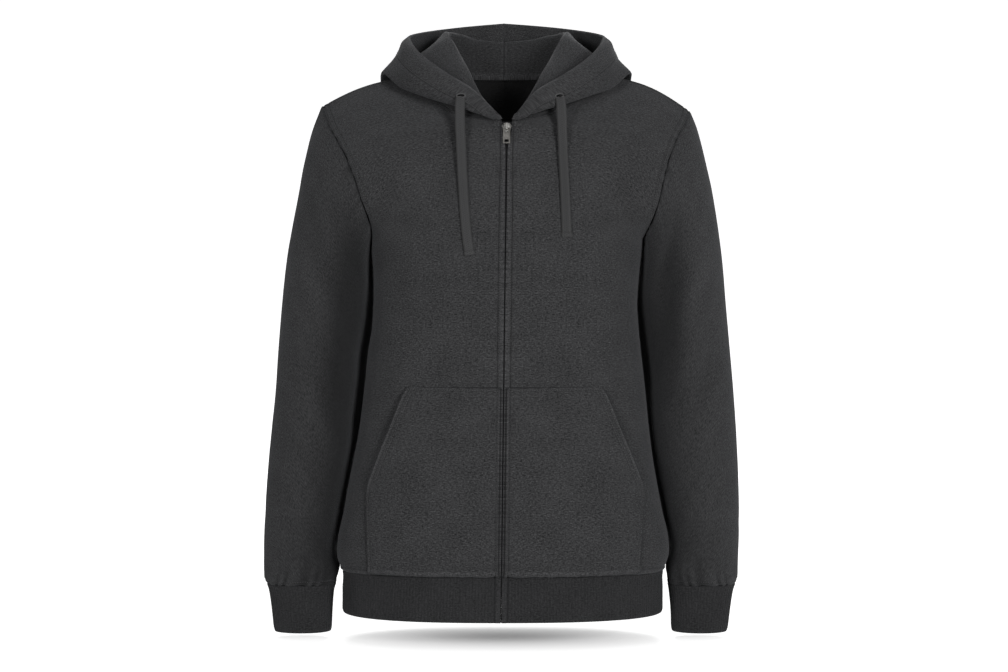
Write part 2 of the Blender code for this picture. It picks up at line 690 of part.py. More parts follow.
def share_normals(grids, normals):
    """Give points that lie on each other in several pieces one normal."""
    found = {}
    for name, grid in grids.items():
        for place, point in enumerate(grid.reshape(-1, 3)):
            found.setdefault(tuple(np.round(point * 1e5).astype(int)), []).append((name, place))
    for places in found.values():
        if len(places) < 2:
            continue
        total = sum(normals[name].reshape(-1, 3)[place] for name, place in places)
        total = total / np.linalg.norm(total)
        for name, place in places:
            normals[name].reshape(-1, 3)[place] = total


def level(normals):
    """The same normals turned level, for an edge that meets a rib band."""
    flat = normals * (1, 1, 0)
    return unit(flat)


def make_sewn_pieces(cloth):
    """The fronts, the back, the sleeves and the hood."""
    grids = {}
    normals = {}
    for side in (-1, 1):
        for face in (-1, 1):
            key = ("panel", side, face)
            grids[key] = panel_grid(side, face)
            normals[key] = grid_normals(grids[key]) * -side * face
            normals[key][0] = level(normals[key][0])
    body = body_surface(grids)
    for side in (-1, 1):
        key = ("hood", side)
        grids[key] = hood_grid(side, body)
        normals[key] = np.ascontiguousarray(grid_normals(grids[key]) * side)
    share_normals(grids, normals)
    shifts = {key: np.zeros_like(grid) for key, grid in grids.items()}

    sleeves = {}
    for side in (-1, 1):
        front = grids[("panel", side, -1)][UNDERARM_ROW:, -1]
        back = grids[("panel", side, 1)][UNDERARM_ROW:, -1]
        ring = np.concatenate([front, back[-2:0:-1]])
        beside = np.concatenate([normals[("panel", side, -1)][UNDERARM_ROW:, -1],
                                 normals[("panel", side, 1)][UNDERARM_ROW:, -1][-2:0:-1]])
        grid = sleeve_grid(side, ring)
        own = grid_normals(grid, closed=True) * -side
        turn = np.sum(beside * own[0], axis=1, keepdims=True)
        share = np.clip((turn + 0.3) / 0.6, 0, 1)
        own[-1] = level(own[-1])
        top = unit(own[0] + share * beside)
        body_top = unit(beside + share * own[0])
        shift = np.zeros_like(grid)
        shift[0] = drawn_back_ring(grid[0], top, grid[1]) + beside * UNDERARM_SPACE * (1 - share)
        shift[-1] = (0, 0, SEAM_BACK)
        own[0] = top
        count = ARMHOLE_ROWS + 1
        normals[("panel", side, -1)][UNDERARM_ROW:, -1] = body_top[:count]
        normals[("panel", side, 1)][UNDERARM_ROW:, -1] = np.concatenate([body_top[:1], body_top[count - 1:][::-1]])
        sleeves[side] = (grid + shift, own)

    for side in (-1, 1):
        for face in (-1, 1):
            key = ("panel", side, face)
            grid = grids[key]
            turn = normals[key]
            shift = shifts[key]
            shift[:, -1] += drawn_back(grid[:, -1], turn[:, -1], grid[:, -2], SEAM_BACK)
            shift[-1] += drawn_back(grid[-1], turn[-1], grid[-2], SEAM_BACK)
            shift[0] += (0, 0, SEAM_BACK)
            start = UNDERARM_ROW + (FRONT_NECK_ROW if face < 0 else BACK_NECK_ROW)
            neck = drawn_back(grid[start:, 0], turn[start:, 0], grid[start:, 1], SEAM_BACK)
            if face > 0:
                neck[0] = (0, 0, -SEAM_BACK)
            shift[start:, 0] += neck
        key = ("hood", side)
        grid = grids[key]
        turn = normals[key]
        seam = turn[0]
        seam[6:-1:2] = unit(seam[5:-2:2] + seam[7::2])
        shift = shifts[key]
        shift[0] += drawn_back(grid[0], seam, grid[1], 2 * SEAM_BACK)
        shift[0, -1] = (0, 0, 2 * SEAM_BACK)
        shift[:, -1] += (side * SEAM_BACK, 0, 0)

    for side in (-1, 1):
        key = ("panel", side, -1)
        grid = grids[key] + shifts[key]
        inner = grid - normals[key] * FLEECE
        rows, columns = grid.shape[:2]
        faces = turned(grid_faces(rows, columns), side < 0)
        wall("front_" + side_name(side), grid, inner, faces, cloth)
        grid, turn = sleeves[side]
        rows, columns = grid.shape[:2]
        faces = turned(grid_faces(rows, columns, closed=True), side > 0)
        wall("sleeve_" + side_name(side), grid, grid - turn * FLEECE, faces, cloth)
        key = ("hood", side)
        middle = grids[key] + shifts[key]
        half = normals[key] * HOOD_WALL / 2
        rows, columns = middle.shape[:2]
        faces = turned(grid_faces(rows, columns), side < 0)
        wall("hood_" + side_name(side), middle + half, middle - half, faces, cloth)

    points = []
    inner = []
    faces = []
    for side in (-1, 1):
        key = ("panel", side, 1)
        grid = grids[key] + shifts[key]
        rows, columns = grid.shape[:2]
        faces += turned(grid_faces(rows, columns, first=len(points) * rows * columns), side > 0)
        points.append(grid.reshape(-1, 3))
        inner.append((grid - normals[key] * FLEECE).reshape(-1, 3))
    points = np.concatenate(points)
    inner = np.concatenate(inner)
    outer, place, faces = weld(points, faces)
    behind = np.empty_like(outer)
    behind[place] = inner
    joined, shape = wall_from(outer, behind, faces)
    node("back", joined, shape, cloth)
    return grids, normals


def drawn_back_ring(edge, normals, beside):
    """The same as drawn_back for a closed ring."""
    along = unit(np.roll(edge, -1, axis=0) - np.roll(edge, 1, axis=0))
    into = unit(np.cross(normals, along))
    way = np.sign(np.sum(into * (beside - edge), axis=1, keepdims=True))
    return into * way * SEAM_BACK * 1.8


# ---- rib bands ----------------------------------------------------------------------------------

def ribbed_wall(name, fine, coarse, steps, closed, flip, material):
    """A rib band: fine outer rings with raised ribs over coarse plain inner rings.

    Each inner stretch faces `steps` outer ones, and the rims fan out between them.
    """
    rows, wide = fine.shape[:2]
    narrow = coarse.shape[1]
    points = np.concatenate([fine.reshape(-1, 3), coarse.reshape(-1, 3)])
    base = rows * wide
    faces = grid_faces(rows, wide, closed)
    faces += [tuple(reversed(face)) for face in grid_faces(rows, narrow, closed, base)]
    stretches = narrow if closed else narrow - 1
    for row, under in ((0, True), (rows - 1, False)):
        rim = []
        for stretch in range(stretches):
            here = base + row * narrow + stretch
            after = base + row * narrow + (stretch + 1) % narrow
            for step in range(steps):
                a = row * wide + stretch * steps + step
                b = row * wide + (stretch * steps + step + 1) % wide
                rim.append((a, here if step < steps // 2 else after, b))
                if step == steps // 2:
                    rim.append((a, here, after))
        faces += rim if under else [tuple(reversed(face)) for face in rim]
    if not closed:
        for row in range(rows - 1):
            a, b = row * wide, (row + 1) * wide
            c, d = base + row * narrow, base + (row + 1) * narrow
            faces.append((a, b, d, c))
            a, b = a + wide - 1, b + wide - 1
            c, d = c + narrow - 1, d + narrow - 1
            faces.append((b, a, c, d))
    return node(name, points, turned(faces, flip), material)


def ribbed(outer, normals, raise_by):
    """Raise every other point by a rib's height."""
    up = np.zeros(outer.shape[:2])
    up[:, 1::2] = raise_by
    return outer + normals * up[..., None]


def hem_quarter(side, face, height, low, count):
    """Outer points of a quarter of the hem at one height, from the middle out."""
    x = zip_x(height) + side * ZIP_HALF_OPENING if face < 0 else 0.0
    inner = (x, face * middle_depth(face, low)[0], height)
    outer = (side * half_width(side, low)[0], 0.0, low)
    return section_row(inner, outer, SQUARENESS, 0.0, count)


def hem_ring(height, low, steps):
    """Outer points of the hem at one height: from the zip round the right side, the back and the left."""
    count = HEM_COLUMNS_A_QUARTER * steps
    parts = [hem_quarter(1, -1, height, low, count),
             hem_quarter(1, 1, height, low, count)[::-1][1:],
             hem_quarter(-1, 1, height, low, count)[1:],
             hem_quarter(-1, -1, height, low, count)[::-1][1:]]
    return np.concatenate(parts)


def make_hem(material):
    """The ribbed hem band, open at the zip."""
    heights = ((HEM_SEAM_MIDDLE - SEAM_BACK, HEM_SEAM_SIDE - SEAM_BACK), (HEM_HALFWAY, HEM_HALFWAY),
               (HEM_BOTTOM, HEM_BOTTOM))
    fine = np.array([hem_ring(height, low, HEM_STEPS_A_COLUMN) for height, low in heights])
    coarse = np.array([hem_ring(height, low, 1) for height, low in heights])
    fine_normals = level(-grid_normals(fine))
    coarse_normals = level(-grid_normals(coarse))
    fine = ribbed(fine, fine_normals, RIB_RAISE)
    coarse = coarse - coarse_normals * RIB_WALL
    return ribbed_wall("hem_band", fine, coarse, HEM_STEPS_A_COLUMN, False, True, material)


def make_cuff(side, material):
    """A ribbed cuff."""
    name = side_name(side)
    count = CUFF_INNER_COLUMNS * CUFF_STEPS_A_COLUMN
    rings = []
    for place, height in enumerate(CUFF["height"]):
        height = height - (SEAM_BACK if place == 0 else 0)
        outer = np.array((side * CUFF[name][place], 0.0, height))
        inner = np.array((side * CUFF[name + "_inner"][place], 0.0, height))
        fine = oval_ring(outer, inner, CUFF["front"][place], CUFF["back"][place], count * 8)
        rings.append(even_ring(fine, count))
    fine = np.array(rings)
    turn = level(grid_normals(fine, closed=True) * -side)
    coarse = (fine - turn * RIB_WALL)[:, ::CUFF_STEPS_A_COLUMN]
    fine = ribbed(fine, turn, RIB_RAISE)
    return ribbed_wall("cuff_" + name, fine, coarse, CUFF_STEPS_A_COLUMN, True, side > 0, material)


# ---- pockets ------------------------------------------------------------------------------------

def make_pocket(side, grids, normals, material):
    """A half of the kangaroo pocket, laid on the front and standing off it at its slanted mouth."""
    grid = grids[("panel", side, -1)]
    turn = normals[("panel", side, -1)]
    outline = np.array(POCKET_OUTLINE[side])
    mouth_foot, mouth_top = outline[1:, 1]
    share = np.linspace(0, 1, POCKET_COLUMNS + 1)
    points = []
    for row in range(POCKET_ROWS):
        line = grid[row]
        height = line[:, 2].mean()
        edge = np.interp(height, outline[:, 1], outline[:, 0])
        start = side * (zip_x(height) + side * POCKET_ZIP_EDGE)
        across = start + (edge - start) * share
        where = side * line[:, 0]
        mouth = np.clip((height - mouth_foot) / MOUTH_FADE, 0, 1)
        mouth = mouth * np.clip((mouth_top - height) / MOUTH_FADE + 0.35, 0, 1)
        lift = POCKET_SPACE + POCKET_MOUTH * mouth * share**3
        spot = np.stack([np.interp(across, where, line[:, k]) for k in range(3)], axis=1)
        out = unit(np.stack([np.interp(across, where, turn[row, :, k]) for k in range(3)], axis=1))
        points.append(spot + out * lift[:, None])
    inner = np.array(points)
    inner[0, :, 2] += SEAM_BACK
    out = grid_normals(inner) * side
    out[0] = level(out[0])
    faces = turned(grid_faces(POCKET_ROWS, POCKET_COLUMNS + 1), side < 0)
    wall("pocket_" + side_name(side), inner + out * FLEECE, inner, faces, material)


# ---- zip, neck tape and cords -------------------------------------------------------------------

def zip_rows(grids):
    """Rows of the cloth beside the zip line, from the hem's bottom up: on each side, the panel's edge
    point and the point that its first flat face runs to."""
    top = UNDERARM_ROW + FRONT_NECK_ROW
    rows = {}
    for side in (-1, 1):
        low = [hem_quarter(side, -1, z, z, HEM_COLUMNS_A_QUARTER)[:2] for z in (HEM_BOTTOM, HEM_HALFWAY)]
        rows[side] = np.concatenate([low, grids[("panel", side, -1)][:top + 1, :2]])
    return rows


def beside_zip(rows, side, distance):
    """Points on the cloth at a distance from the zip line, on the flat face that starts there."""
    edge, after = rows[side][:, 0], rows[side][:, 1]
    away = side * (edge[:, 0] - zip_x(edge[:, 2]))
    share = (distance - away) / (side * (after[:, 0] - edge[:, 0]))
    return edge + (after - edge) * share[:, None]


def outward_of(near, far, side):
    """Outward directions of the strip of cloth between two lines of points."""
    return unit(np.cross(far - near, np.gradient((near + far) / 2, axis=0))) * side


def strip(name, near, far, out, depth, material):
    """A flat strip between two lines of points on the cloth, at two depths under it."""
    if near[0, 0] > far[0, 0]:
        near, far = far, near
    corners = ((near, depth[0]), (far, depth[0]), (far, depth[1]), (near, depth[1]))
    rings = np.array([line - out * d for line, d in corners]).transpose(1, 0, 2)
    rows = len(near)
    faces = grid_faces(rows, 4, closed=True)
    last = (rows - 1) * 4
    faces += [(3, 2, 1, 0), (last, last + 1, last + 2, last + 3)]
    return node(name, rings.reshape(-1, 3), faces, material, smooth=False)


def box_points(x, y, z):
    """Corners and faces of a box between two values on each axis."""
    points = [(a, b, c) for c in z for b in y for a in x]
    faces = [(0, 2, 3, 1), (4, 5, 7, 6), (0, 1, 5, 4), (2, 6, 7, 3), (1, 3, 7, 5), (0, 4, 6, 2)]
    return np.array(points, float), faces


def plan_solid(outline, low, high):
    """A plate: an outline in the XZ plane between two values of Y."""
    count = len(outline)
    points = [(x, low, z) for x, z in outline] + [(x, high, z) for x, z in outline]
    faces = [tuple(range(count)), tuple(range(2 * count - 1, count - 1, -1))]
    faces += [(i, i + count, (i + 1) % count + count, (i + 1) % count) for i in range(count)]
    return np.array(points, float), faces


def round_corners(width, height, radius, steps=3):
    """A rectangle with round corners, about the origin."""
    outline = []
    for turn in range(4):
        centre_x = (width / 2 - radius) * (1 if turn in (0, 3) else -1)
        centre_z = (height / 2 - radius) * (1 if turn in (0, 1) else -1)
        for step in range(steps + 1):
            angle = math.pi / 2 * (turn + step / steps)
            outline.append((centre_x + radius * math.cos(angle), centre_z + radius * math.sin(angle)))
    return outline


def facing_out(points, faces):
    """Turn a convex solid's faces so that they face away from its middle."""
    middle = points.mean(axis=0)
    turned_faces = []
    for face in faces:
        corners = points[list(face)]
        normal = np.zeros(3)
        for a, b in zip(corners, np.roll(corners, -1, axis=0)):
            normal += np.cross(a, b)
        way = np.dot(normal, corners.mean(axis=0) - middle)
        turned_faces.append(tuple(face) if way > 0 else tuple(reversed(face)))
    return points, turned_faces


def combine(name, base, others, material):
    """One solid from a base and the solids that are joined to it or cut from it, each a pair of
    points and faces with its Boolean operation."""
    piece = node(name, *facing_out(*base), material, smooth=False)
    for count, (operation, shape) in enumerate(others):
        tool = node(name + "_tool_%d" % count, *facing_out(*shape), material, smooth=False)
        cut = piece.modifiers.new("join_%d" % count, "BOOLEAN")
        cut.operation = operation
        cut.solver = "EXACT"
        cut.object = tool
        tool.hide_render = True
        tool.display_type = "WIRE"
        tool.parent = piece
    return piece


def make_slider(path, out, material):
    """The slider and its pull tab, on the zip line. Their meshes are built lying along Z with -Y
    outwards, then turned to the zip's slope."""
    spot = np.array([np.interp(SLIDER_HEIGHT, path[:, 2], path[:, k]) for k in range(3)])
    normal = unit(np.array([np.interp(SLIDER_HEIGHT, path[:, 2], out[:, k]) for k in range(3)]))
    slope = math.atan2(normal[2], -normal[1])
    lean = math.atan(ZIP_LEAN)
    top = SLIDER_LENGTH / 2
    outline = ((-SLIDER_WIDTH_TOP / 2, top - 0.003), (-SLIDER_WIDTH_TOP / 2 + 0.0022, top),
               (SLIDER_WIDTH_TOP / 2 - 0.0022, top), (SLIDER_WIDTH_TOP / 2, top - 0.003),
               (SLIDER_WIDTH_END / 2, -top), (-SLIDER_WIDTH_END / 2, -top))
    face = -SLIDER_FRONT[1]
    front = plan_solid(outline, SLIDER_FRONT[0], SLIDER_FRONT[1])
    back = plan_solid(outline, SLIDER_BACK[1], SLIDER_BACK[0])
    post = box_points((-0.0015, 0.0015), (SLIDER_FRONT[1] + 0.0004, SLIDER_BACK[1] - 0.0004),
                      (top - 0.0040, top - 0.0006))
    half = BAIL_WIDTH / 2
    upper = box_points((-half, half), (-face - BAIL_RISE, SLIDER_FRONT[0] - 0.0003),
                       (BAIL_TOP - BAIL_WALL, BAIL_TOP))
    lower = box_points((-half, half), (-face - BAIL_RISE, SLIDER_FRONT[0] - 0.0003),
                       (BAIL_END, BAIL_END + BAIL_WALL))
    bridge = box_points((-half, half), (-face - BAIL_RISE, -face - BAIL_RISE + BAIL_WALL),
                        (BAIL_END + 0.0002, BAIL_TOP - 0.0002))
    slider = combine("zip_slider", front,
                     [("UNION", back), ("UNION", post), ("UNION", upper), ("UNION", lower),
                      ("UNION", bridge)], material)
    slider.location = Vector(spot)
    slider.rotation_euler = (-slope, lean, 0.0)

    end = -TAB_LENGTH
    plate = plan_solid([(x, z - TAB_LENGTH / 2 + TAB_BAR / 2)
                        for x, z in round_corners(TAB_WIDTH, TAB_LENGTH, 0.0011)],
                       TAB_WALL / 2, -TAB_WALL / 2)
    window = box_points((-TAB_WINDOW_WIDTH / 2, TAB_WINDOW_WIDTH / 2), (-0.004, 0.004),
                        (-TAB_BAR / 2 - TAB_WINDOW_LENGTH, -TAB_BAR / 2))
    hole = plan_solid([(x, z + end + TAB_BAR / 2 + 0.0036)
                       for x, z in round_corners(TAB_HOLE[0], TAB_HOLE[1], 0.0009)], 0.004, -0.004)
    tab = combine("pull_tab", plate, [("DIFFERENCE", window), ("DIFFERENCE", hole)], material)
    pivot = bpy.data.objects.new("pull_tab_axis", None)
    bpy.context.scene.collection.objects.link(pivot)
    pivot.parent = slider
    pivot.location = (0.0, -face - TAB_STAND, TAB_PIVOT)
    tab.parent = pivot
    tab.rotation_euler = (-math.radians(TAB_TILT), 0.0, 0.0)


def make_zip(grids, cloth_material, metal_material):
    """The zip: two tapes, the chain, the slider and its tab."""
    rows = zip_rows(grids)
    for side in (-1, 1):
        near = beside_zip(rows, side, CHAIN_HALF + TAPE_GAP)
        far = beside_zip(rows, side, TAPE_HALF)
        out = outward_of(near, far, side)
        strip("zip_tape_" + side_name(side), near, far, out, TAPE_DEPTH, cloth_material)
    left = beside_zip(rows, -1, CHAIN_HALF)
    right = beside_zip(rows, 1, CHAIN_HALF)
    path = (left + right) / 2
    out = outward_of(left, right, 1)
    make_slider(path, out, metal_material)
    limit = SLIDER_HEIGHT - CHAIN_END
    kept = path[:, 2] < limit - 0.002
    share = [np.interp(limit, path[:, 2], line[:, k]) for line in (left, right, out) for k in range(3)]
    ends = np.array(share).reshape(3, 3)
    left = np.concatenate([left[kept], ends[:1]])
    right = np.concatenate([right[kept], ends[1:2]])
    out = np.concatenate([out[kept], ends[2:]])
    strip("zip_chain", left, right, out, CHAIN_DEPTH, cloth_material)


def make_neck_tape(grids, material):
    """The band over the back neck seam, inside, from shoulder seam to shoulder seam."""
    left = grids[("hood", -1)][0, 5:]
    right = grids[("hood", 1)][0, 5:-1][::-1]
    path = np.concatenate([left, right])
    along = unit(np.gradient(path, axis=0))
    into = unit(np.cross((0.0, 0.0, 1.0), along))
    corners = ((-NECK_TAPE_HALF, 0), (NECK_TAPE_HALF, 0), (NECK_TAPE_HALF, 1), (-NECK_TAPE_HALF, 1))
    rings = np.array([path - into * NECK_TAPE_DEPTH[far] + np.array((0.0, 0.0, z)) for z, far in corners])
    rings = rings.transpose(1, 0, 2)
    rows = len(path)
    faces = grid_faces(rows, 4, closed=True)
    last = (rows - 1) * 4
    faces += [(3, 2, 1, 0), (last, last + 1, last + 2, last + 3)]
    return node("neck_tape", rings.reshape(-1, 3), faces, material, smooth=False)


def make_cord(name, route, material):
    """A flat drawcord: a section with round edges carried along its route."""
    route = np.array(route)
    run = np.concatenate([[0], np.cumsum(np.linalg.norm(np.diff(route, axis=0), axis=1))])
    path = smooth_through(run, route, np.linspace(0, run[-1], CORD_STEPS + 1))
    along = unit(np.gradient(path, axis=0))
    across = np.tile((1.0, 0.0, 0.0), (len(path), 1))
    out = unit(np.cross(across, along))
    side = unit(np.cross(along, out))
    half = CORD_WIDTH / 2
    edge = half - CORD_WALL * 0.35
    section = ((-half, 0), (-edge, CORD_WALL / 2), (edge, CORD_WALL / 2), (half, 0),
               (edge, -CORD_WALL / 2), (-edge, -CORD_WALL / 2))
    rings = np.array([path + side * x + out * y for x, y in section]).transpose(1, 0, 2)
    rows = len(path)
    count = len(section)
    faces = grid_faces(rows, count, closed=True)
    last = (rows - 1) * count
    faces += [tuple(reversed(range(count))), tuple(range(last, last + count))]
    return node(name, rings.reshape(-1, 3), faces, material)


def build():
    """Make every piece."""
    clear_scene()
    fleece = fabric("charcoal fleece", CHARCOAL)
    rib = fabric("charcoal rib knit", CHARCOAL_RIB)
    braid = fabric("charcoal flat cord", CORD_GREY)
    nickel = metal("nickel", NICKEL)
    grids, normals = make_sewn_pieces(fleece)
    make_hem(rib)
    for side in (-1, 1):
        make_cuff(side, rib)
        make_pocket(side, grids, normals, fleece)
    make_zip(grids, rib, nickel)
    make_neck_tape(grids, rib)
    for name, route in CORD_ROUTES.items():
        make_cord(name, route, braid)


build()
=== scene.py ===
import math

import bmesh
import bpy
import numpy as np
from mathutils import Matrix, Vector


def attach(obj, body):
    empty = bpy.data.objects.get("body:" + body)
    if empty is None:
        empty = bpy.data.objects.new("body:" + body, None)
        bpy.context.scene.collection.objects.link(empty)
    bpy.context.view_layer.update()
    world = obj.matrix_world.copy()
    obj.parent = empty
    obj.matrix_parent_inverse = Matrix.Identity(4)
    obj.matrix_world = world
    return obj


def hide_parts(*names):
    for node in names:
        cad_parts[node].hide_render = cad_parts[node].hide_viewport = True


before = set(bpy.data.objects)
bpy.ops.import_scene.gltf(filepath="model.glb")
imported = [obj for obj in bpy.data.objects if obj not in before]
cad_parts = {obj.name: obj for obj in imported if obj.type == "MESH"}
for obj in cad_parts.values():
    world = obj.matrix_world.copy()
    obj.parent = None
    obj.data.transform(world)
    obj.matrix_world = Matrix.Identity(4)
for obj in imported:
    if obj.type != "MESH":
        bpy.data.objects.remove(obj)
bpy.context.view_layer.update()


# ---- the studio ---------------------------------------------------------------------------------
# White background paper hangs behind the garment and runs forward under it, just below the cuffs.
# Large soft boxes light it from the front, from above and from behind, and the camera stands level
# with its waist.

FLOOR_HEIGHT = -0.706
PAPER_HALF_WIDTH = 6.0
PAPER_FRONT = -4.6
PAPER_BACK = 3.4
PAPER_BEND = 0.8
PAPER_TOP = 4.4
PAPER_WHITE = (0.93, 0.93, 0.93, 1.0)
PAPER_GLOW = 0.74
PAPER_SHADOW_SPOT = (3.9, 8.6, 0.0)       # one over the half width and half depth of the painted shadow's spot under the garment
PAPER_SHADOW_GLOW = 0.24                    # the glow left in its middle, where the painted shadow is darkest
SOFT_BOXES = (
    # name, place, aim, width, height, watts
    ("front left box", (-1.5, -3.2, -0.1), (0.0, 0.0, -0.35), 0.9, 1.2, 44.0),
    ("front right box", (1.5, -3.2, 0.1), (0.0, 0.0, -0.35), 0.9, 1.2, 84.0),
    ("top box", (0.1, -1.9, 2.0), (0.0, 0.0, -0.35), 1.2, 0.8, 5.0),
    ("back box", (0.0, 3.2, 1.9), (0.0, 0.0, -0.35), 1.8, 1.2, 75.0),
)
ROOM_LIGHT = 0.17
CAMERA_PLACE = (0.0, -2.4, -0.33)
CAMERA_LENS = 68.571


def grid_quads(rows, columns, closed=False):
    """Four-sided faces between the neighbours of a grid of points, as an array. A closed grid's last
    column joins its first."""
    index = np.arange(rows * columns).reshape(rows, columns)
    if closed:
        index = np.concatenate([index, index[:, :1]], axis=1)
    corners = (index[:-1, :-1], index[:-1, 1:], index[1:, 1:], index[1:, :-1])
    return np.stack(corners, axis=-1).reshape(-1, 4)


def mesh_piece(name, points, quads, materials, uv=None, uv_quads=None, slots=None, nap_and_shade=None):
    """A mesh object of four-sided faces, shaded smooth. uv holds a place on the cloth, in metres, for
    each of the numbers in uv_quads, slots a material's number for each face, and the last how much lighter,
    or under nought darker, the cloth is at each point: painted shade and painted highlight, partly the
    darkening of pressed pile."""
    mesh = bpy.data.meshes.new(name)
    mesh.vertices.add(len(points))
    mesh.vertices.foreach_set("co", np.ascontiguousarray(points, np.float32).ravel())
    mesh.loops.add(quads.size)
    mesh.loops.foreach_set("vertex_index", np.ascontiguousarray(quads, np.int32).ravel())
    mesh.polygons.add(len(quads))
    mesh.polygons.foreach_set("loop_start", np.arange(0, quads.size, 4, dtype=np.int32))
    if slots is not None:
        mesh.polygons.foreach_set("material_index", slots.astype(np.int32))
    mesh.update(calc_edges=True)
    if uv is not None:
        layer = mesh.uv_layers.new(name="cloth")
        layer.uv.foreach_set("vector", uv[uv_quads.ravel()].astype(np.float32).ravel())
    mesh.validate()
    mesh.shade_smooth()
    if nap_and_shade is not None:
        mesh.attributes.new("nap_and_shade", "FLOAT", "POINT").data.foreach_set("value", nap_and_shade.astype(np.float32).ravel())
    for material in materials:
        mesh.materials.append(material)
    piece = bpy.data.objects.new(name, mesh)
    bpy.context.scene.collection.objects.link(piece)
    return piece


def shader_node(tree, kind, inputs=None, **settings):
    """Add a shader node with its settings. Its inputs, by name or number, are set or linked."""
    node = tree.nodes.new("ShaderNode" + kind)
    for name, value in settings.items():
        setattr(node, name, value)
    for name, value in (inputs or {}).items():
        if isinstance(value, bpy.types.NodeSocket):
            tree.links.new(value, node.inputs[name])
        else:
            node.inputs[name].default_value = value
    return node


def new_material(name):
    """A material, its node tree and its shader."""
    material = bpy.data.materials.new(name)
    material.use_nodes = True
    return material, material.node_tree, material.node_tree.nodes["Principled BSDF"]


def paper_sweep():
    """The paper's profile is a flat floor, a quarter circle and an upright wall, carried sideways. It glows
    evenly white but for a painted shadow, a soft spot under the garment, and throws no light on the cloth."""
    bend = np.linspace(0, math.pi / 2, 13)
    y = np.concatenate([[PAPER_FRONT], PAPER_BACK + PAPER_BEND * np.sin(bend), [PAPER_BACK + PAPER_BEND]])
    z = np.concatenate([[0], PAPER_BEND * (1 - np.cos(bend)), [PAPER_TOP]]) + FLOOR_HEIGHT
    x = np.array((-PAPER_HALF_WIDTH, PAPER_HALF_WIDTH))
    grid = np.stack([np.broadcast_to(x, (len(y), 2)), np.repeat(y, 2).reshape(-1, 2),
                     np.repeat(z, 2).reshape(-1, 2)], axis=-1)
    paper, tree, shader = new_material("white paper")
    shader.inputs["Base Color"].default_value = PAPER_WHITE
    shader.inputs["Roughness"].default_value = 0.9
    place = shader_node(tree, "TexCoord").outputs["Object"]
    shrunk = shader_node(tree, "Mapping", {"Vector": place, "Scale": PAPER_SHADOW_SPOT})
    away = shader_node(tree, "VectorMath", {0: shrunk.outputs[0]}, operation="LENGTH").outputs["Value"]
    # The glow's strength, dimmed towards the middle of the spot: a painted shadow.
    lit = shader_node(tree, "MapRange", {"Value": away, "To Min": PAPER_SHADOW_GLOW},
                      interpolation_type="SMOOTHSTEP")
    glow = shader_node(tree, "VectorMath", {0: PAPER_WHITE[:3], "Scale": lit.outputs[0]}, operation="SCALE")
    tree.links.new(glow.outputs[0], shader.inputs["Emission Color"])
    shader.inputs["Emission Strength"].default_value = PAPER_GLOW
    sweep = mesh_piece("paper_sweep", grid.reshape(-1, 3), grid_quads(len(y), 2), [paper])
    sweep.visible_diffuse = False
    return sweep


def aimed(thing, place, aim):
    """Put a light at a place and turn its -Z towards a point."""
    thing.location = place
    thing.rotation_euler = (Vector(aim) - Vector(place)).to_track_quat("-Z", "Y").to_euler()


paper_sweep()
for box_name, place, aim, width, height, watts in SOFT_BOXES:
    lamp = bpy.data.lights.new(box_name, "AREA")
    lamp.shape = "RECTANGLE"
    lamp.size = width
    lamp.size_y = height
    lamp.energy = watts
    soft_box = bpy.data.objects.new(box_name, lamp)
    bpy.context.scene.collection.objects.link(soft_box)
    aimed(soft_box, place, aim)
room = bpy.data.worlds.new("studio")
room.use_nodes = True
room.node_tree.nodes["Background"].inputs["Color"].default_value = (1.0, 1.0, 1.0, 1.0)
room.node_tree.nodes["Background"].inputs["Strength"].default_value = ROOM_LIGHT
bpy.context.scene.world = room
bpy.context.scene.view_settings.view_transform = "Standard"

camera = bpy.data.objects.new("camera", bpy.data.cameras.new("camera"))
camera.data.lens = CAMERA_LENS
camera.data.sensor_width = 36.0
camera.location = CAMERA_PLACE
camera.rotation_euler = (math.pi / 2, 0.0, 0.0)
bpy.context.scene.collection.objects.link(camera)
bpy.context.scene.camera = camera


# ---- drawcords ----------------------------------------------------------------------------------
# Two flat braided cotton cords, 10 mm wide, hang from sewn eyelets in the hood's casing. Their ends
# are folded in and stitched across, with no metal tips, and the left one hangs lower.

CORD_WIDTH = 0.0118
CORD_WALL = 0.0024
CORD_RINGS = 150
CORD_SIDES = 28
CORD_STITCHED_END = 0.0055     # from the tip to the stitches across
CORD_ROUTES = {
    "drawcord_left": (
        (-0.0518, -0.1010, -0.0432), (-0.0526, -0.1028, -0.0540), (-0.0526, -0.1036, -0.0700),
        (-0.0520, -0.1036, -0.0880), (-0.0512, -0.1042, -0.1060), (-0.0503, -0.1062, -0.1240),
        (-0.0492, -0.1100, -0.1430), (-0.0480, -0.1152, -0.1620), (-0.0466, -0.1198, -0.1820),
        (-0.0450, -0.1230, -0.2000), (-0.0430, -0.1250, -0.2180), (-0.0404, -0.1258, -0.2341),
    ),
    "drawcord_right": (
        (0.0673, -0.0974, -0.0434), (0.0685, -0.0976, -0.0520), (0.0692, -0.0972, -0.0670),
        (0.0698, -0.0970, -0.0830), (0.0704, -0.0978, -0.1000), (0.0710, -0.1003, -0.1180),
        (0.0718, -0.1046, -0.1360), (0.0726, -0.1097, -0.1550), (0.0733, -0.1150, -0.1750),
        (0.0740, -0.1188, -0.1950), (0.0745, -0.1206, -0.2124),
    ),
}
CORD_TWIST = {"drawcord_left": -4.0, "drawcord_right": 16.0}    # degrees, most of it halfway down
CORD_EDGE_SHADE = 0.90          # painted shade: how much darker the braid is where it turns round its edges
CORD_RIDGE_HIGHLIGHT = 0.42        # and a painted highlight, how much lighter, on the ridge beside them
CORD_DARK = (0.0080, 0.0081, 0.0085, 1.0)
CORD_LIGHT = (0.0445, 0.0448, 0.0466, 1.0)
CORD_SHADE_AND_HIGHLIGHT = {"drawcord_left": (0.0, 0.0), "drawcord_right": (-0.30, 0.85)}   # painted shade over its face, painted highlight on its edge
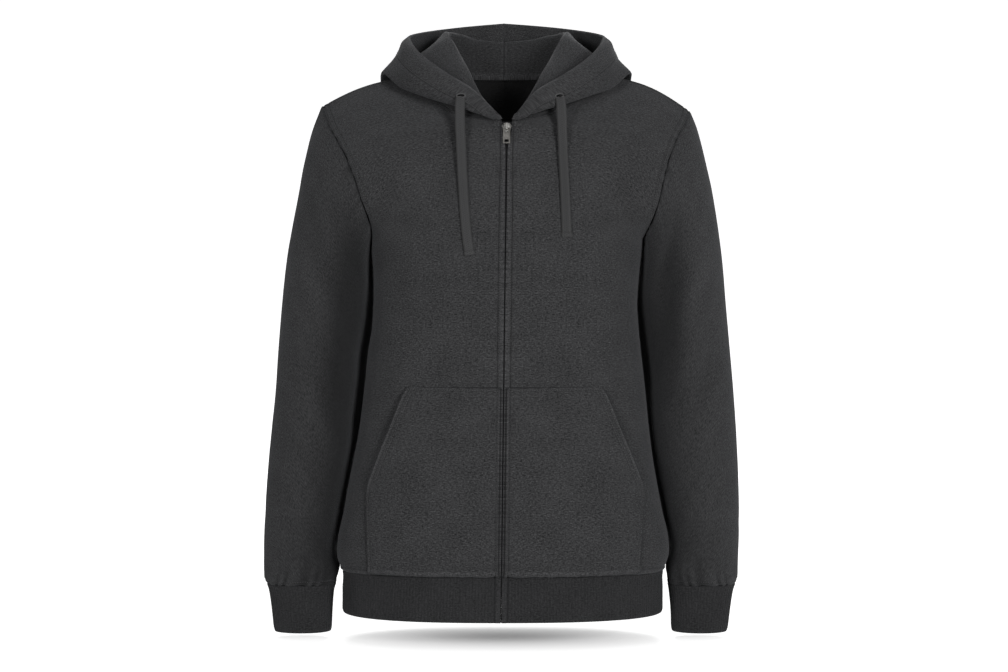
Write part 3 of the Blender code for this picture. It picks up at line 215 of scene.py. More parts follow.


def through(keys, values, at):
    """Rows at the places `at` of a smooth curve through the rows of `values`, which lie at `keys`.

    Each stretch is a cubic whose end slopes are those of the parabola through a row and its two
    neighbours.
    """
    keys = np.asarray(keys, float)
    values = np.asarray(values, float)
    flat = values.reshape(len(keys), -1)
    at = np.asarray(at, float)
    step = np.diff(keys)[:, None]
    chord = np.diff(flat, axis=0) / step
    slope = np.concatenate([chord[:1], (chord[:-1] * step[1:] + chord[1:] * step[:-1])
                            / (step[:-1] + step[1:]), chord[-1:]])
    place = np.clip(np.searchsorted(keys, at, side="right") - 1, 0, len(keys) - 2)
    span = step[place]
    t = ((at - keys[place]) / span[:, 0])[:, None]
    curve = ((2 * t**3 - 3 * t**2 + 1) * flat[place] + (t**3 - 2 * t**2 + t) * span * slope[place]
             + (3 * t**2 - 2 * t**3) * flat[place + 1] + (t**3 - t**2) * span * slope[place + 1])
    return curve.reshape((len(at),) + values.shape[1:])


def lengths(grid, axis=0):
    """Distances along a line or a grid of points from its start on an axis."""
    step = np.linalg.norm(np.diff(grid, axis=axis), axis=-1)
    start = np.zeros_like(np.take(step, [0], axis=axis))
    return np.cumsum(np.concatenate([start, step], axis=axis), axis=axis)


def unit(vectors):
    """The same directions at length one."""
    return vectors / np.maximum(np.linalg.norm(vectors, axis=-1, keepdims=True), 1e-12)


def bell(distance, width):
    """A bell curve: 1 at nought, and e to the power of minus the square of distance over width."""
    return np.exp(-((distance / width) ** 2))


def braid_material():
    """Braided cotton: two sets of yarns cross at a slant, each wave of them a little lit on its top."""
    material, tree, shader = new_material("braided cord")
    cloth = shader_node(tree, "UVMap", uv_map="cloth").outputs["UV"]
    slants = []
    for angle in (0.62, -0.62):
        turned = shader_node(tree, "Mapping", {"Vector": cloth, "Rotation": (0, 0, angle)})
        wave = shader_node(tree, "TexWave", {"Vector": turned.outputs[0], "Scale": 190.0,
                                             "Distortion": 0.6, "Detail": 1.0, "Detail Scale": 3.0})
        slants.append(wave.outputs["Fac"])
    height = shader_node(tree, "Math", {0: slants[0], 1: slants[1]}, operation="MAXIMUM").outputs[0]
    fuzz = shader_node(tree, "TexNoise", {"Vector": cloth, "Scale": 1500.0, "Detail": 3.0}).outputs["Fac"]
    tone = shader_node(tree, "Math", {0: height, 1: fuzz}, operation="MULTIPLY").outputs[0]
    # Painted shade and highlight, given for each point, scale the braid's tone.
    nap_and_shade = shader_node(tree, "Attribute", attribute_name="nap_and_shade").outputs["Fac"]
    tone = shader_node(tree, "Math", {0: tone, 1: nap_and_shade, 2: tone}, operation="MULTIPLY_ADD").outputs[0]
    colour = shader_node(tree, "Mix", {0: tone, 6: CORD_DARK, 7: CORD_LIGHT}, data_type="RGBA")
    bump = shader_node(tree, "Bump", {"Height": tone, "Strength": 0.7, "Distance": 0.0006})
    tree.links.new(colour.outputs[2], shader.inputs["Base Color"])
    tree.links.new(bump.outputs[0], shader.inputs["Normal"])
    shader.inputs["Roughness"].default_value = 0.88
    shader.inputs["Sheen Weight"].default_value = 0.12
    return material


def flat_cord(name, route, twist, tone, material):
    """A flat cord: an oval ring, flatter across the wall, is carried along the route and turned about
    it by the twist. The stitched end is pressed in, and the tip is closed by shrinking rings."""
    route = np.array(route)
    run = lengths(route)
    at = np.linspace(0, run[-1], CORD_RINGS)
    path = through(run, route, at)
    along = unit(np.gradient(path, axis=0))
    out = unit(np.cross((1.0, 0.0, 0.0), along))
    side = unit(np.cross(along, out))
    turn = np.radians(twist) * np.sin(math.pi * at / run[-1])[:, None]
    across = side * np.cos(turn) + out * np.sin(turn)
    outward = out * np.cos(turn) - side * np.sin(turn)
    angle = np.linspace(0, 2 * math.pi, CORD_SIDES, endpoint=False)
    wide = np.sign(np.cos(angle)) * np.abs(np.cos(angle)) ** 0.55 * CORD_WIDTH / 2
    thick = np.sign(np.sin(angle)) * np.abs(np.sin(angle)) ** 0.9 * CORD_WALL / 2
    left = run[-1] - at
    pressed = 1 - 0.35 * bell(left - CORD_STITCHED_END, 0.0009)
    swell = 1 + 0.18 * bell(left - 0.002, 0.002)
    closing = np.sqrt(np.clip(np.minimum(left, at) / 0.0008, 0.02, 1))
    thickness = (pressed * swell * closing)[:, None, None]
    breadth = (0.96 + 0.04 * closing) * (1 + 0.13 * bell(left - 0.0024, 0.0026))
    breadth = breadth[:, None, None]
    rings = (path[:, None] + across[:, None] * wide[None, :, None] * breadth
             + outward[:, None] * thick[None, :, None] * thickness)
    uv_around = np.linspace(0, 2 * (CORD_WIDTH + CORD_WALL), CORD_SIDES + 1)
    uv = np.stack(np.meshgrid(uv_around, at), axis=-1).reshape(-1, 2)
    # The cord's tone: painted shade where the braid turns round its edges and at the stitches across its end,
    # a painted highlight on the ridge beside the edges and on the swollen tip, and each cord's own painted
    # shade over its face and painted highlight on one edge.
    from_side = (CORD_WIDTH / 2 - np.abs(wide))[None, :]
    nap_and_shade = (CORD_RIDGE_HIGHLIGHT * bell(from_side - 0.0023, 0.0008) - CORD_EDGE_SHADE * bell(from_side, 0.0012)
           - 0.55 * bell(left - CORD_STITCHED_END, 0.0009)[:, None]
           + 0.24 * bell(left - 0.0026, 0.0016)[:, None] + tone[0]
           + tone[1] * bell(wide - CORD_WIDTH * 0.40, 0.0009)[None, :])
    cord = mesh_piece(name, rings.reshape(-1, 3), grid_quads(CORD_RINGS, CORD_SIDES, closed=True)[:, ::-1],
                      [material], uv, grid_quads(CORD_RINGS, CORD_SIDES + 1)[:, ::-1], nap_and_shade=nap_and_shade)
    faced_out(cord, ends=True)
    return cord, path, run[-1]


def faced_out(piece, ends=False):
    """Turn all of a piece's faces outwards, a tube's with its two open ends closed by a face each."""
    body = bmesh.new()
    body.from_mesh(piece.data)
    if ends:
        open_edges = [edge for edge in body.edges if edge.is_boundary]
        bmesh.ops.holes_fill(body, edges=open_edges, sides=CORD_SIDES)
    bmesh.ops.recalc_face_normals(body, faces=body.faces)
    body.to_mesh(piece.data)
    body.free()


braid = braid_material()
cord_paths = {}
for cord_name, route in CORD_ROUTES.items():
    cord, path, length = flat_cord(cord_name + "_braid", route, CORD_TWIST[cord_name],
                                   CORD_SHADE_AND_HIGHLIGHT[cord_name], braid)
    cord_paths[cord_name] = path
    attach(cord, "garment")
    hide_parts(cord_name)


# ---- fronts and back ----------------------------------------------------------------------------
# Two fronts and a back of charcoal heather fleece, smooth outside and brushed inside, are sewn at the
# shoulders and the sides. The fronts' zip edges are folded in and stitched down, and the cloth blouses
# over the ribbed hem.

FLEECE = 0.0020
SQUARENESS = 2.5
ZIP_TOP_X = 0.0034
ZIP_TOP_Z = -0.0700
ZIP_LEAN = 0.0117
ZIP_HALF_OPENING = 0.0008     # the folded edges' wall takes up the rest
HEM_SEAM_MIDDLE = -0.6145
HEM_SEAM_SIDE = -0.6205
SIDE_ROWS = np.array((
    # height, half width on the left, half width on the right
    (-0.6705, 0.2006, 0.1970),
    (-0.6420, 0.2004, 0.1970),
    (-0.6205, 0.2008, 0.1978),
    (-0.6110, 0.2050, 0.2015),
    (-0.5975, 0.2078, 0.2053),
    (-0.5550, 0.2008, 0.1988),
    (-0.5075, 0.1925, 0.1894),
    (-0.4520, 0.1813, 0.1813),
    (-0.3970, 0.1743, 0.1759),
    (-0.3600, 0.1715, 0.1718),
    (-0.3210, 0.1650, 0.1680),
    (-0.2890, 0.1625, 0.1660),
    (-0.2490, 0.1630, 0.1690),
    (-0.2180, 0.1655, 0.1735),
))
MIDDLE_ROWS = np.array((
    # height, depth of the centre front, depth of the centre back
    (-0.6705, 0.1250, 0.1150),
    (-0.6420, 0.1240, 0.1140),
    (-0.6205, 0.1228, 0.1128),
    (-0.6110, 0.1265, 0.1170),
    (-0.5975, 0.1290, 0.1200),
    (-0.5550, 0.1255, 0.1160),
    (-0.5075, 0.1205, 0.1075),
    (-0.4520, 0.1170, 0.1000),
    (-0.3970, 0.1165, 0.0975),
    (-0.3600, 0.1175, 0.0985),
    (-0.3210, 0.1200, 0.1020),
    (-0.2890, 0.1225, 0.1060),
    (-0.2490, 0.1248, 0.1105),
    (-0.2180, 0.1250, 0.1125),
    (-0.1900, 0.1220, 0.1130),
    (-0.1500, 0.1148, 0.1105),
    (-0.1100, 0.1035, 0.1050),
    (-0.0705, 0.0885, 0.0970),
    (-0.0300, 0.0740, 0.0860),
    (0.0017, 0.0600, 0.0750),
))
PANEL_HEIGHTS = (-0.611, -0.598, -0.576, -0.548, -0.5225, -0.480, -0.440, -0.391, -0.350, -0.318,
                 -0.285, -0.252)
UNDERARM_MIDDLE = -0.224
UNDERARM = len(PANEL_HEIGHTS) + 1          # the row at which the armhole starts
SHOULDER = UNDERARM + 11                   # the row of the shoulder seam
ARMHOLE_ROWS = np.array((
    # left and its height, right and its height, depth to the front, depth to the back
    (0.1655, -0.2250, 0.1730, -0.2180, 0.000, 0.000),
    (0.1632, -0.2165, 0.1718, -0.2120, 0.022, 0.027),
    (0.1622, -0.1965, 0.1756, -0.2005, 0.054, 0.064),
    (0.1705, -0.1726, 0.1838, -0.1802, 0.075, 0.087),
    (0.1800, -0.1438, 0.1913, -0.1534, 0.078, 0.090),
    (0.1882, -0.1238, 0.1978, -0.1277, 0.070, 0.082),
    (0.1973, -0.1031, 0.2060, -0.1031, 0.056, 0.066),
    (0.2107, -0.0814, 0.2170, -0.0800, 0.037, 0.043),
    (0.2200, -0.0625, 0.2267, -0.0645, 0.020, 0.022),
    (0.2275, -0.0425, 0.2325, -0.0485, 0.000, 0.000),
))
SHOULDER_CROWN = {-1: 0.0095, 1: 0.0145}
ZIP_EDGE_ROWS = ((-0.190, 0.0012), (-0.155, 0.0012), (-0.122, 0.0012), (-0.0975, 0.0022),
                 (-0.087, 0.0054), (-0.0705, 0.0064))     # height, half the opening
BACK_MIDDLE_HEIGHTS = (-0.190, -0.158, -0.126, -0.094, -0.062, -0.030, 0.0017)
FRONT_NECK = ((0.0340, -0.0845, -0.0665), (0.0610, -0.0680, -0.0565), (0.0775, -0.0505, -0.0410),
              (0.0850, -0.0260, -0.0200), (0.0850, 0.0000, 0.0000))
BACK_NECK = ((0.0260, 0.0710, 0.0014), (0.0500, 0.0580, 0.0008), (0.0710, 0.0330, 0.0003),
             (0.0850, 0.0000, 0.0000))
NECK_ROW = {-1: UNDERARM + 6, 1: UNDERARM + 7}     # the rows at which the necklines start

NEAR_EDGE = np.array((0, 0.8, 1.6, 2.5, 3.4, 4.3, 5.2, 6.2, 7.2, 8.2, 9.4, 11.0, 13.5)) / 1000
PANEL_STEPS = 52
ROW_STEP = 0.0046
LAST_ROW = 0.0225              # length of the row at the shoulder seam and of the hood's at the middle
ARMHOLE_SPLIT = 6
SEAM_GAP = 0.00004
BACK_HEM_HELD = 0.014          # over the hem seam the back's folds run out
SEAM_DIP = 0.0006
SEAM_SOFT = 0.0024
GROOVE = 0.00080
GROOVE_SOFT = 0.0011
EDGE_ROUND = 0.08
HEM_RIDGE = 0.0011             # how far the cloth stands out just above the rib
HEM_RIDGE_RISE = 0.0034
HEM_RIDGE_SOFT = 0.0024
HEM_RIDGE_HIGHLIGHT = 0.24               # how much lighter it is painted there: a painted highlight
HEM_STITCH = 0.0066            # lines of stitches, by their distance from a seam
SHOULDER_STITCH = 0.0043
ARMHOLE_STITCHES = (0.0020, 0.0082)
NECK_STITCH = 0.0052
FLANGE = 0.0066                # from the closed zip's edge to its line of stitches
FLANGE_STANDS = 0.0009
FLANGE_GROOVE = 0.0015
FLANGE_EDGE_SOFT = 0.0006
GROOVE_SHADE_DEPTH = 0.0019           # the depths and the height at which the painted shade or highlight would be in full
FOLD_SHADE_DEPTH = 0.036
RIDGE_HIGHLIGHT_HEIGHT = 0.0040
SHADE_RANGE = (-0.72, 0.26)      # the darkest painted shade and the lightest painted highlight
BODY_FOLDS = {
    # x and z of the start, x and z of the end, width, depth: under nought is a ridge
    -1: ((-0.150, -0.232, -0.112, -0.318, 0.014, 0.0022), (-0.128, -0.236, -0.080, -0.290, 0.013, 0.0012),
         (-0.158, -0.330, -0.146, -0.440, 0.017, 0.0016), (-0.118, -0.350, -0.098, -0.386, 0.020, -0.0012),
         (-0.182, -0.560, -0.150, -0.608, 0.016, 0.0022), (-0.070, -0.560, -0.062, -0.612, 0.011, 0.0009),
         (-0.120, -0.080, -0.155, -0.130, 0.022, 0.0014), (-0.040, -0.260, -0.030, -0.360, 0.020, 0.0009)),
    1: ((0.158, -0.228, 0.126, -0.300, 0.014, 0.0024), (0.142, -0.250, 0.112, -0.330, 0.015, -0.0013),
        (0.150, -0.300, 0.138, -0.400, 0.017, 0.0018), (0.092, -0.215, 0.060, -0.262, 0.016, 0.0010),
        (0.180, -0.552, 0.152, -0.606, 0.016, 0.0020), (0.096, -0.566, 0.100, -0.612, 0.012, 0.0010),
        (0.126, -0.078, 0.168, -0.132, 0.022, 0.0015), (0.046, -0.300, 0.040, -0.384, 0.022, 0.0008)),
}
BACK_FOLDS = {
    -1: ((-0.150, -0.228, -0.096, -0.330, 0.017, 0.0034), (-0.108, -0.225, -0.060, -0.300, 0.016, 0.0022),
         (-0.160, -0.345, -0.110, -0.420, 0.020, 0.0026), (-0.050, -0.380, -0.062, -0.520, 0.024, 0.0016),
         (-0.176, -0.540, -0.132, -0.606, 0.016, 0.0028), (-0.080, -0.555, -0.070, -0.612, 0.013, 0.0018)),
    1: ((0.158, -0.226, 0.104, -0.318, 0.017, 0.0036), (0.120, -0.236, 0.066, -0.322, 0.018, 0.0020),
        (0.164, -0.350, 0.122, -0.440, 0.020, 0.0024), (0.034, -0.350, 0.052, -0.480, 0.026, 0.0015),
        (0.178, -0.548, 0.140, -0.608, 0.015, 0.0026), (0.060, -0.548, 0.074, -0.610, 0.013, 0.0018)),
}
HEATHER_DARK = (0.0040, 0.0040, 0.0042, 1.0)
HEATHER_LIGHT = (0.0565, 0.0567, 0.0588, 1.0)
BRUSHED_DARK = (0.0050, 0.0050, 0.0052, 1.0)
BRUSHED_LIGHT = (0.0150, 0.0151, 0.0156, 1.0)


def heather_group():
    """Heather yarn in a jersey knit, from a place on the cloth in metres.

    Long streaks across the cloth are single yarns' tones, a finer noise flecks them, and a slow one
    shades the whole. Its height is the knit's loops, which waver in columns, with fuzz over them.
    """
    tree = bpy.data.node_groups.new("heather yarn", "ShaderNodeTree")
    for socket, kind in (("Cloth", "Vector"), ("Dark", "Color"), ("Light", "Color"), ("Flecks", "Float"),
                         ("Nap and shade", "Float")):
        tree.interface.new_socket(socket, in_out="INPUT", socket_type="NodeSocket" + kind)
    for socket, kind in (("Colour", "Color"), ("Height", "Float"), ("Roughness", "Float")):
        tree.interface.new_socket(socket, in_out="OUTPUT", socket_type="NodeSocket" + kind)
    given = tree.nodes.new("NodeGroupInput").outputs
    result = tree.nodes.new("NodeGroupOutput").inputs

    def noise(scale, detail, low, high):
        """Noise stretched by a scale on each axis, with its middle values spread from 0 to 1."""
        place = shader_node(tree, "Mapping", {"Vector": given["Cloth"], "Scale": scale})
        speckle = shader_node(tree, "TexNoise", {"Vector": place.outputs[0], "Scale": 1.0, "Detail": detail,
                                                 "Roughness": 0.55})
        return shader_node(tree, "MapRange", {"Value": speckle.outputs["Fac"], "From Min": low,
                                              "From Max": high}).outputs[0]

    def math_node(operation, *values):
        """A sum of arithmetic."""
        return shader_node(tree, "Math", dict(enumerate(values)), operation=operation).outputs[0]

    streak = noise((230.0, 640.0, 1.0), 2.0, 0.32, 0.68)
    grain = noise((520.0, 640.0, 1.0), 1.0, 0.36, 0.64)
    slow = noise((22.0, 30.0, 1.0), 3.0, 0.30, 0.70)
    fleck = noise((300.0, 700.0, 1.0), 1.0, 0.60, 0.70)
    tone = math_node("ADD", math_node("MULTIPLY", streak, 0.42), math_node("MULTIPLY", grain, 0.42))
    tone = math_node("ADD", tone, math_node("MULTIPLY", slow, 0.16))
    tone = math_node("ADD", tone, math_node("MULTIPLY", fleck, given["Flecks"]))
    # Painted shade and highlight, given for each point, scale the yarn's tone.
    tone = math_node("MULTIPLY", tone, math_node("ADD", given["Nap and shade"], 1.0))
    colour = shader_node(tree, "Mix", {0: tone, 6: given["Dark"], 7: given["Light"]}, data_type="RGBA",
                         clamp_factor=False)
    part = shader_node(tree, "SeparateXYZ", {0: given["Cloth"]})
    wale = math_node("MULTIPLY", part.outputs[0], 2 * math.pi / 0.00105)
    course = math_node("MULTIPLY", part.outputs[1], 2 * math.pi / 0.00085)
    slant = math_node("ABSOLUTE", math_node("SINE", math_node("MULTIPLY", wale, 0.5)))
    loops = math_node("SINE", math_node("ADD", course, math_node("MULTIPLY", slant, 2.6)))
    knit = math_node("MULTIPLY", math_node("ADD", loops, math_node("COSINE", wale)), 0.16)
    fuzz = noise((1300.0, 1300.0, 1.0), 3.0, 0.30, 0.70)
    height = math_node("ADD", math_node("ADD", knit, math_node("MULTIPLY", fuzz, 0.42)),
                       math_node("MULTIPLY", streak, 0.26))
    tree.links.new(colour.outputs[2], result["Colour"])
    tree.links.new(height, result["Height"])
    tree.links.new(shader_node(tree, "MapRange", {"Value": tone, "To Min": 0.97, "To Max": 0.84}).outputs[0],
                   result["Roughness"])
    return tree


def heather_material(name, dark, light, flecks, relief, sheen):
    """A cloth of heather yarn, with the sheen of its short pile. Its tone is scaled by the painted shade and
    highlight given for each point.
    """
    material, tree, shader = new_material(name)
    cloth = shader_node(tree, "UVMap", uv_map="cloth").outputs["UV"]
    yarn = shader_node(tree, "Group", node_tree=heather)
    tree.links.new(cloth, yarn.inputs["Cloth"])
    tree.links.new(shader_node(tree, "Attribute", attribute_name="nap_and_shade").outputs["Fac"], yarn.inputs["Nap and shade"])
    yarn.inputs["Dark"].default_value = dark
    yarn.inputs["Light"].default_value = light
    yarn.inputs["Flecks"].default_value = flecks
    bump = shader_node(tree, "Bump", {"Height": yarn.outputs["Height"], "Strength": 0.85,
                                      "Distance": relief})
    tree.links.new(yarn.outputs["Colour"], shader.inputs["Base Color"])
    tree.links.new(yarn.outputs["Roughness"], shader.inputs["Roughness"])
    tree.links.new(bump.outputs[0], shader.inputs["Normal"])
    shader.inputs["Specular IOR Level"].default_value = 0.12
    shader.inputs["Sheen Weight"].default_value = sheen
    shader.inputs["Sheen Roughness"].default_value = 0.55
    shader.inputs["Sheen Tint"].default_value = (0.80, 0.82, 0.86, 1.0)
    return material


def outward_of(grid, way, closed=False):
    """Directions square to a grid of points, on the side that `way` names."""
    around = np.roll(grid, -1, axis=1) - np.roll(grid, 1, axis=1) if closed else np.gradient(grid, axis=1)
    return unit(np.cross(around, np.gradient(grid, axis=0))) * way


def drawn_in(grid, closed=False, first=0, joined_last=False):
    """The grid with its edges drawn back from the seams by half of a seam's gap, the first column's
    from the row `first` on, and the last column's unless it is joined there."""
    drawn = grid.copy()
    drawn[0] += unit(grid[1] - grid[0]) * SEAM_GAP
    drawn[-1] += unit(grid[-2] - grid[-1]) * SEAM_GAP
    if not closed:
        drawn[first:, 0] += unit(grid[first:, 1] - grid[first:, 0]) * SEAM_GAP
        if not joined_last:
            drawn[:, -1] += unit(grid[:, -2] - grid[:, -1]) * SEAM_GAP
    return drawn


def shell(name, outer, outward, wall, materials, closed=False, slit=None, nap_and_shade=0.0, nap_and_shade_inside=0.0):
    """A piece of cloth with its thickness: the outer grid, an inner grid one wall behind it and rims
    between them, whose edges are drawn together as a cut edge's are. Its places on the cloth are the
    lengths along its rows and columns. A slit, a column and a row, parts the cloth after that column
    from that row on, and before that row the columns on its two sides are the same points."""
    rows, columns = outer.shape[:2]
    wide = columns + closed
    place = np.arange(rows * wide).reshape(rows, wide)
    vertex = np.tile(np.arange(rows * columns).reshape(rows, columns), (1, 2))[:, :wide]
    quads = grid_quads(rows, wide)
    edges = [place[0], place[-1][::-1]] + ([] if closed else [place[:, -1], place[:, 0][::-1]])
    if slit:
        column, row = slit
        vertex[:row + 1, column + 1] = vertex[:row + 1, column]
        quads = quads[quads[:, 0] % wide != column]
        edges = [place[0, :column + 1], place[0, column + 1:], place[-1, :column + 1][::-1],
                 place[-1, column + 1:][::-1], place[:, -1], place[:, 0][::-1],
                 place[row:, column], place[row:, column + 1][::-1]]
    soft = np.zeros((rows * columns, 1))
    soft[np.concatenate([vertex.ravel()[edge] for edge in edges])] = EDGE_ROUND
    flat, ahead = outer.reshape(-1, 3), outward.reshape(-1, 3)
    wall = np.broadcast_to(wall, outer.shape[:2] + (1,)).reshape(-1, 1)
    points = np.concatenate([flat - ahead * soft * wall, flat - ahead * (1 - soft) * wall])
    spread_out = np.concatenate([outer, outer[:, :1]], axis=1) if closed else outer
    uv = np.stack([lengths(spread_out, 1), lengths(spread_out, 0)], axis=-1).reshape(-1, 2)
    count = rows * wide
    rims = np.concatenate([np.stack([a[1:], a[:-1], a[:-1] + count, a[1:] + count], axis=1) for a in edges])
    faces = np.concatenate([quads, quads[:, ::-1] + count, rims])
    vertex = np.concatenate([vertex.ravel(), vertex.ravel() + rows * columns])
    corners = points[vertex[quads]]
    facing = np.cross(corners[:, 1] - corners[:, 0], corners[:, 3] - corners[:, 0])
    if np.sum(facing * ahead[vertex[quads[:, 0]]]) < 0:
        faces = faces[:, ::-1]
    kept, joined = np.unique(vertex[faces], return_inverse=True)
    slots = np.repeat((0, 1, 0), (len(quads), len(quads), len(rims)))
    lie = np.concatenate([np.broadcast_to(part, outer.shape[:2]).ravel() for part in (nap_and_shade, nap_and_shade_inside)])
    return mesh_piece(name, points[kept], joined.reshape(faces.shape), materials,
                      np.concatenate([uv, uv]), faces, slots, lie[kept])


def through_corner(rows, at, corner):
    """The smooth curve through rows numbered from nought, but with a corner at one of them."""
    keys = np.arange(len(rows))
    low = through(keys[:corner + 1], rows[:corner + 1], np.minimum(at, corner))
    high = through(keys[corner:], rows[corner:], np.maximum(at, corner))
    return np.where((at <= corner)[:, None], low, high)


def half_width(side, height):
    """Half the body's width at a height."""
    return through(SIDE_ROWS[:, 0], SIDE_ROWS[:, 1 if side < 0 else 2], np.atleast_1d(height))


def middle_depth(face, height):
    """How far the centre front (face -1) or the centre back (face 1) lies from the side seams."""
    return through(MIDDLE_ROWS[:, 0], MIDDLE_ROWS[:, 1 if face < 0 else 2], np.atleast_1d(height))


def zip_x(height):
    """Where the zip line lies at a height: it leans a little to the left on its way down."""
    return ZIP_TOP_X + (np.asarray(height) - ZIP_TOP_Z) * ZIP_LEAN


def middle_line(side, face, rise):
    """A panel's inner edge: the zip's edge, or the centre back, and then the neckline."""
    heights = np.array((HEM_SEAM_MIDDLE,) + PANEL_HEIGHTS + (UNDERARM_MIDDLE,))
    depth_at = np.concatenate([[HEM_SEAM_SIDE], heights[1:]])
    upper = np.array(ZIP_EDGE_ROWS)[:, 0] if face < 0 else np.array(BACK_MIDDLE_HEIGHTS)
    opening = np.concatenate([np.full(len(heights), ZIP_HALF_OPENING), np.array(ZIP_EDGE_ROWS)[:, 1]])
    heights = np.concatenate([heights, upper])
    x = zip_x(heights) + side * opening if face < 0 else np.zeros(len(heights))
    y = face * middle_depth(face, np.concatenate([depth_at, upper]))
    neckline = np.array(FRONT_NECK if face < 0 else BACK_NECK) * (side, 1, 1)
    rows = np.concatenate([np.stack([x, y, heights], axis=1), neckline])
    return through_corner(rows, rise, NECK_ROW[face])


def side_line(side, face, rise):
    """A panel's outer edge: the side seam, and then the armhole in even steps."""
    heights = np.array((HEM_SEAM_SIDE,) + PANEL_HEIGHTS)
    seam = np.stack([side * half_width(side, heights), 0 * heights, heights], axis=1)
    column = 0 if side < 0 else 2
    armhole = np.stack([side * ARMHOLE_ROWS[:, column], face * ARMHOLE_ROWS[:, 4 if face < 0 else 5],
                        ARMHOLE_ROWS[:, column + 1]], axis=1)
    run = lengths(armhole)
    even = through(run, armhole, np.linspace(0, run[-1], SHOULDER - UNDERARM + 1))
    return through_corner(np.concatenate([seam, even]), rise, UNDERARM)


def panel_rise():
    """Numbers of the panels' rows: close together at the hem and the shoulder, where seams are stitched."""
    heights = np.array((HEM_SEAM_MIDDLE,) + PANEL_HEIGHTS + (UNDERARM_MIDDLE,))
    rise = [NEAR_EDGE[:-1] / NEAR_EDGE[-1]]
    for row in range(1, UNDERARM):
        count = math.ceil((heights[row + 1] - heights[row]) / ROW_STEP)
        rise.append(row + np.arange(count) / count)
    rise.append(UNDERARM + np.arange((SHOULDER - 1 - UNDERARM) * ARMHOLE_SPLIT) / ARMHOLE_SPLIT)
    rise.append(SHOULDER - 1 + np.array((0, 0.2)))
    rise.append(SHOULDER - NEAR_EDGE[::-1] / LAST_ROW)
    return np.concatenate(rise)


def spread(total, count):
    """Places from nought to each total: close together near both ends, and even in between."""
    even = np.linspace(0, 1, count + 1)
    start = NEAR_EDGE[-1]
    middle = start + (total[:, None] - 2 * start) * even
    first = np.broadcast_to(NEAR_EDGE[:-1], (len(total), len(NEAR_EDGE) - 1))
    return np.concatenate([first, middle, total[:, None] - first[:, ::-1]], axis=1)


def panel_sheet(side, face, rise):
    """A quarter of the body. Each row runs from the middle line to the side line along a quarter of a
    superellipse, whose power falls to 1, a straight line, at the shoulder seam, which is crowned."""
    inner = middle_line(side, face, rise)
    outer = side_line(side, face, rise)
    share = np.clip((rise - UNDERARM) / (SHOULDER - UNDERARM), 0, 1)
    power = (1 + (SQUARENESS - 1) * (1 - share) ** 0.8)[:, None]
    angle = np.linspace(0, math.pi / 2, 241)
    reach = outer - inner
    x = inner[:, :1] + reach[:, :1] * np.sin(angle) ** (2 / power)
    y = inner[:, 1:2] + reach[:, 1:2] * (1 - np.abs(np.cos(angle)) ** (2 / power))
    run = lengths(np.stack([x, y], axis=-1), 1)
    places = spread(run[:, -1], PANEL_STEPS)
    rows = [np.stack([np.interp(p, r, a), np.interp(p, r, b)]) for p, r, a, b in zip(places, run, x, y)]
    flat = np.array(rows)
    even = places / run[:, -1:]
    crown = SHOULDER_CROWN[side] * (share**3)[:, None] * np.sin(math.pi * even**1.25)
    z = inner[:, 2:] + reach[:, 2:] * even + crown
    return np.stack([flat[:, 0], flat[:, 1], z], axis=-1)


def fold_relief(points, folds):
    """How far folds press a surface in, seen from the front: each is a soft trough along a line, as
    deep as a bell curve of the distance from it, and shallower towards its ends."""
    flat = points[..., (0, 2)]
    total = np.zeros(flat.shape[:-1])
    for start_x, start_z, end_x, end_z, width, depth in folds:
        start = np.array((start_x, start_z))
        line = np.array((end_x, end_z)) - start
        share = np.clip(((flat - start) @ line) / (line @ line), 0, 1)
        away = np.linalg.norm(flat - start - share[..., None] * line, axis=-1)
        total += depth * bell(away, width) * (0.5 + 0.5 * np.sin(math.pi * share))
    return total


def seam_relief(distance, stitches=()):
    """Height of the cloth beside a seam: it dips into the seam, and stitches press a groove in it."""
    height = -SEAM_DIP * bell(distance, SEAM_SOFT)
    for at in stitches:
        height = height - GROOVE * bell(distance - at, GROOVE_SOFT)
    return height


def puckers(along, distance, pitch, amount, reach=0.008):
    """Small uneven waves along a seam, which fade with the distance from it."""
    wave = np.sin(2 * math.pi * along / pitch + 1.9 * np.sin(2 * math.pi * along / (pitch * 2.63)))
    return amount * wave * np.exp(-distance / reach) * (0.6 + 0.4 * np.sin(along / 0.041))


def nap_and_shade_of(relief, depth=0.0):
    """How much lighter the cloth is than where it lies plain: painted shade, partly pressed pile, in grooves
    of the relief, painted shade in the depth of folds, and a painted highlight on ridges."""
    fine = np.where(relief < 0, relief / GROOVE_SHADE_DEPTH, relief / RIDGE_HIGHLIGHT_HEIGHT)
    return np.clip(fine - depth / FOLD_SHADE_DEPTH, *SHADE_RANGE)


def hem_highlight(up):
    """How much lighter the fold that stands over the hem seam is painted: a painted highlight."""
    return HEM_RIDGE_HIGHLIGHT * bell(up - HEM_RIDGE_RISE, HEM_RIDGE_SOFT)


def flange_distance(sheet):
    """How far the flange's stitches lie from a front's edge, row by row: less where the edge makes room
    for the slider, so that they run on straight."""
    room = np.abs(sheet[:, 0, 0] - zip_x(sheet[:, 0, 2])) - ZIP_HALF_OPENING
    return np.maximum(FLANGE - room, 0.0009)


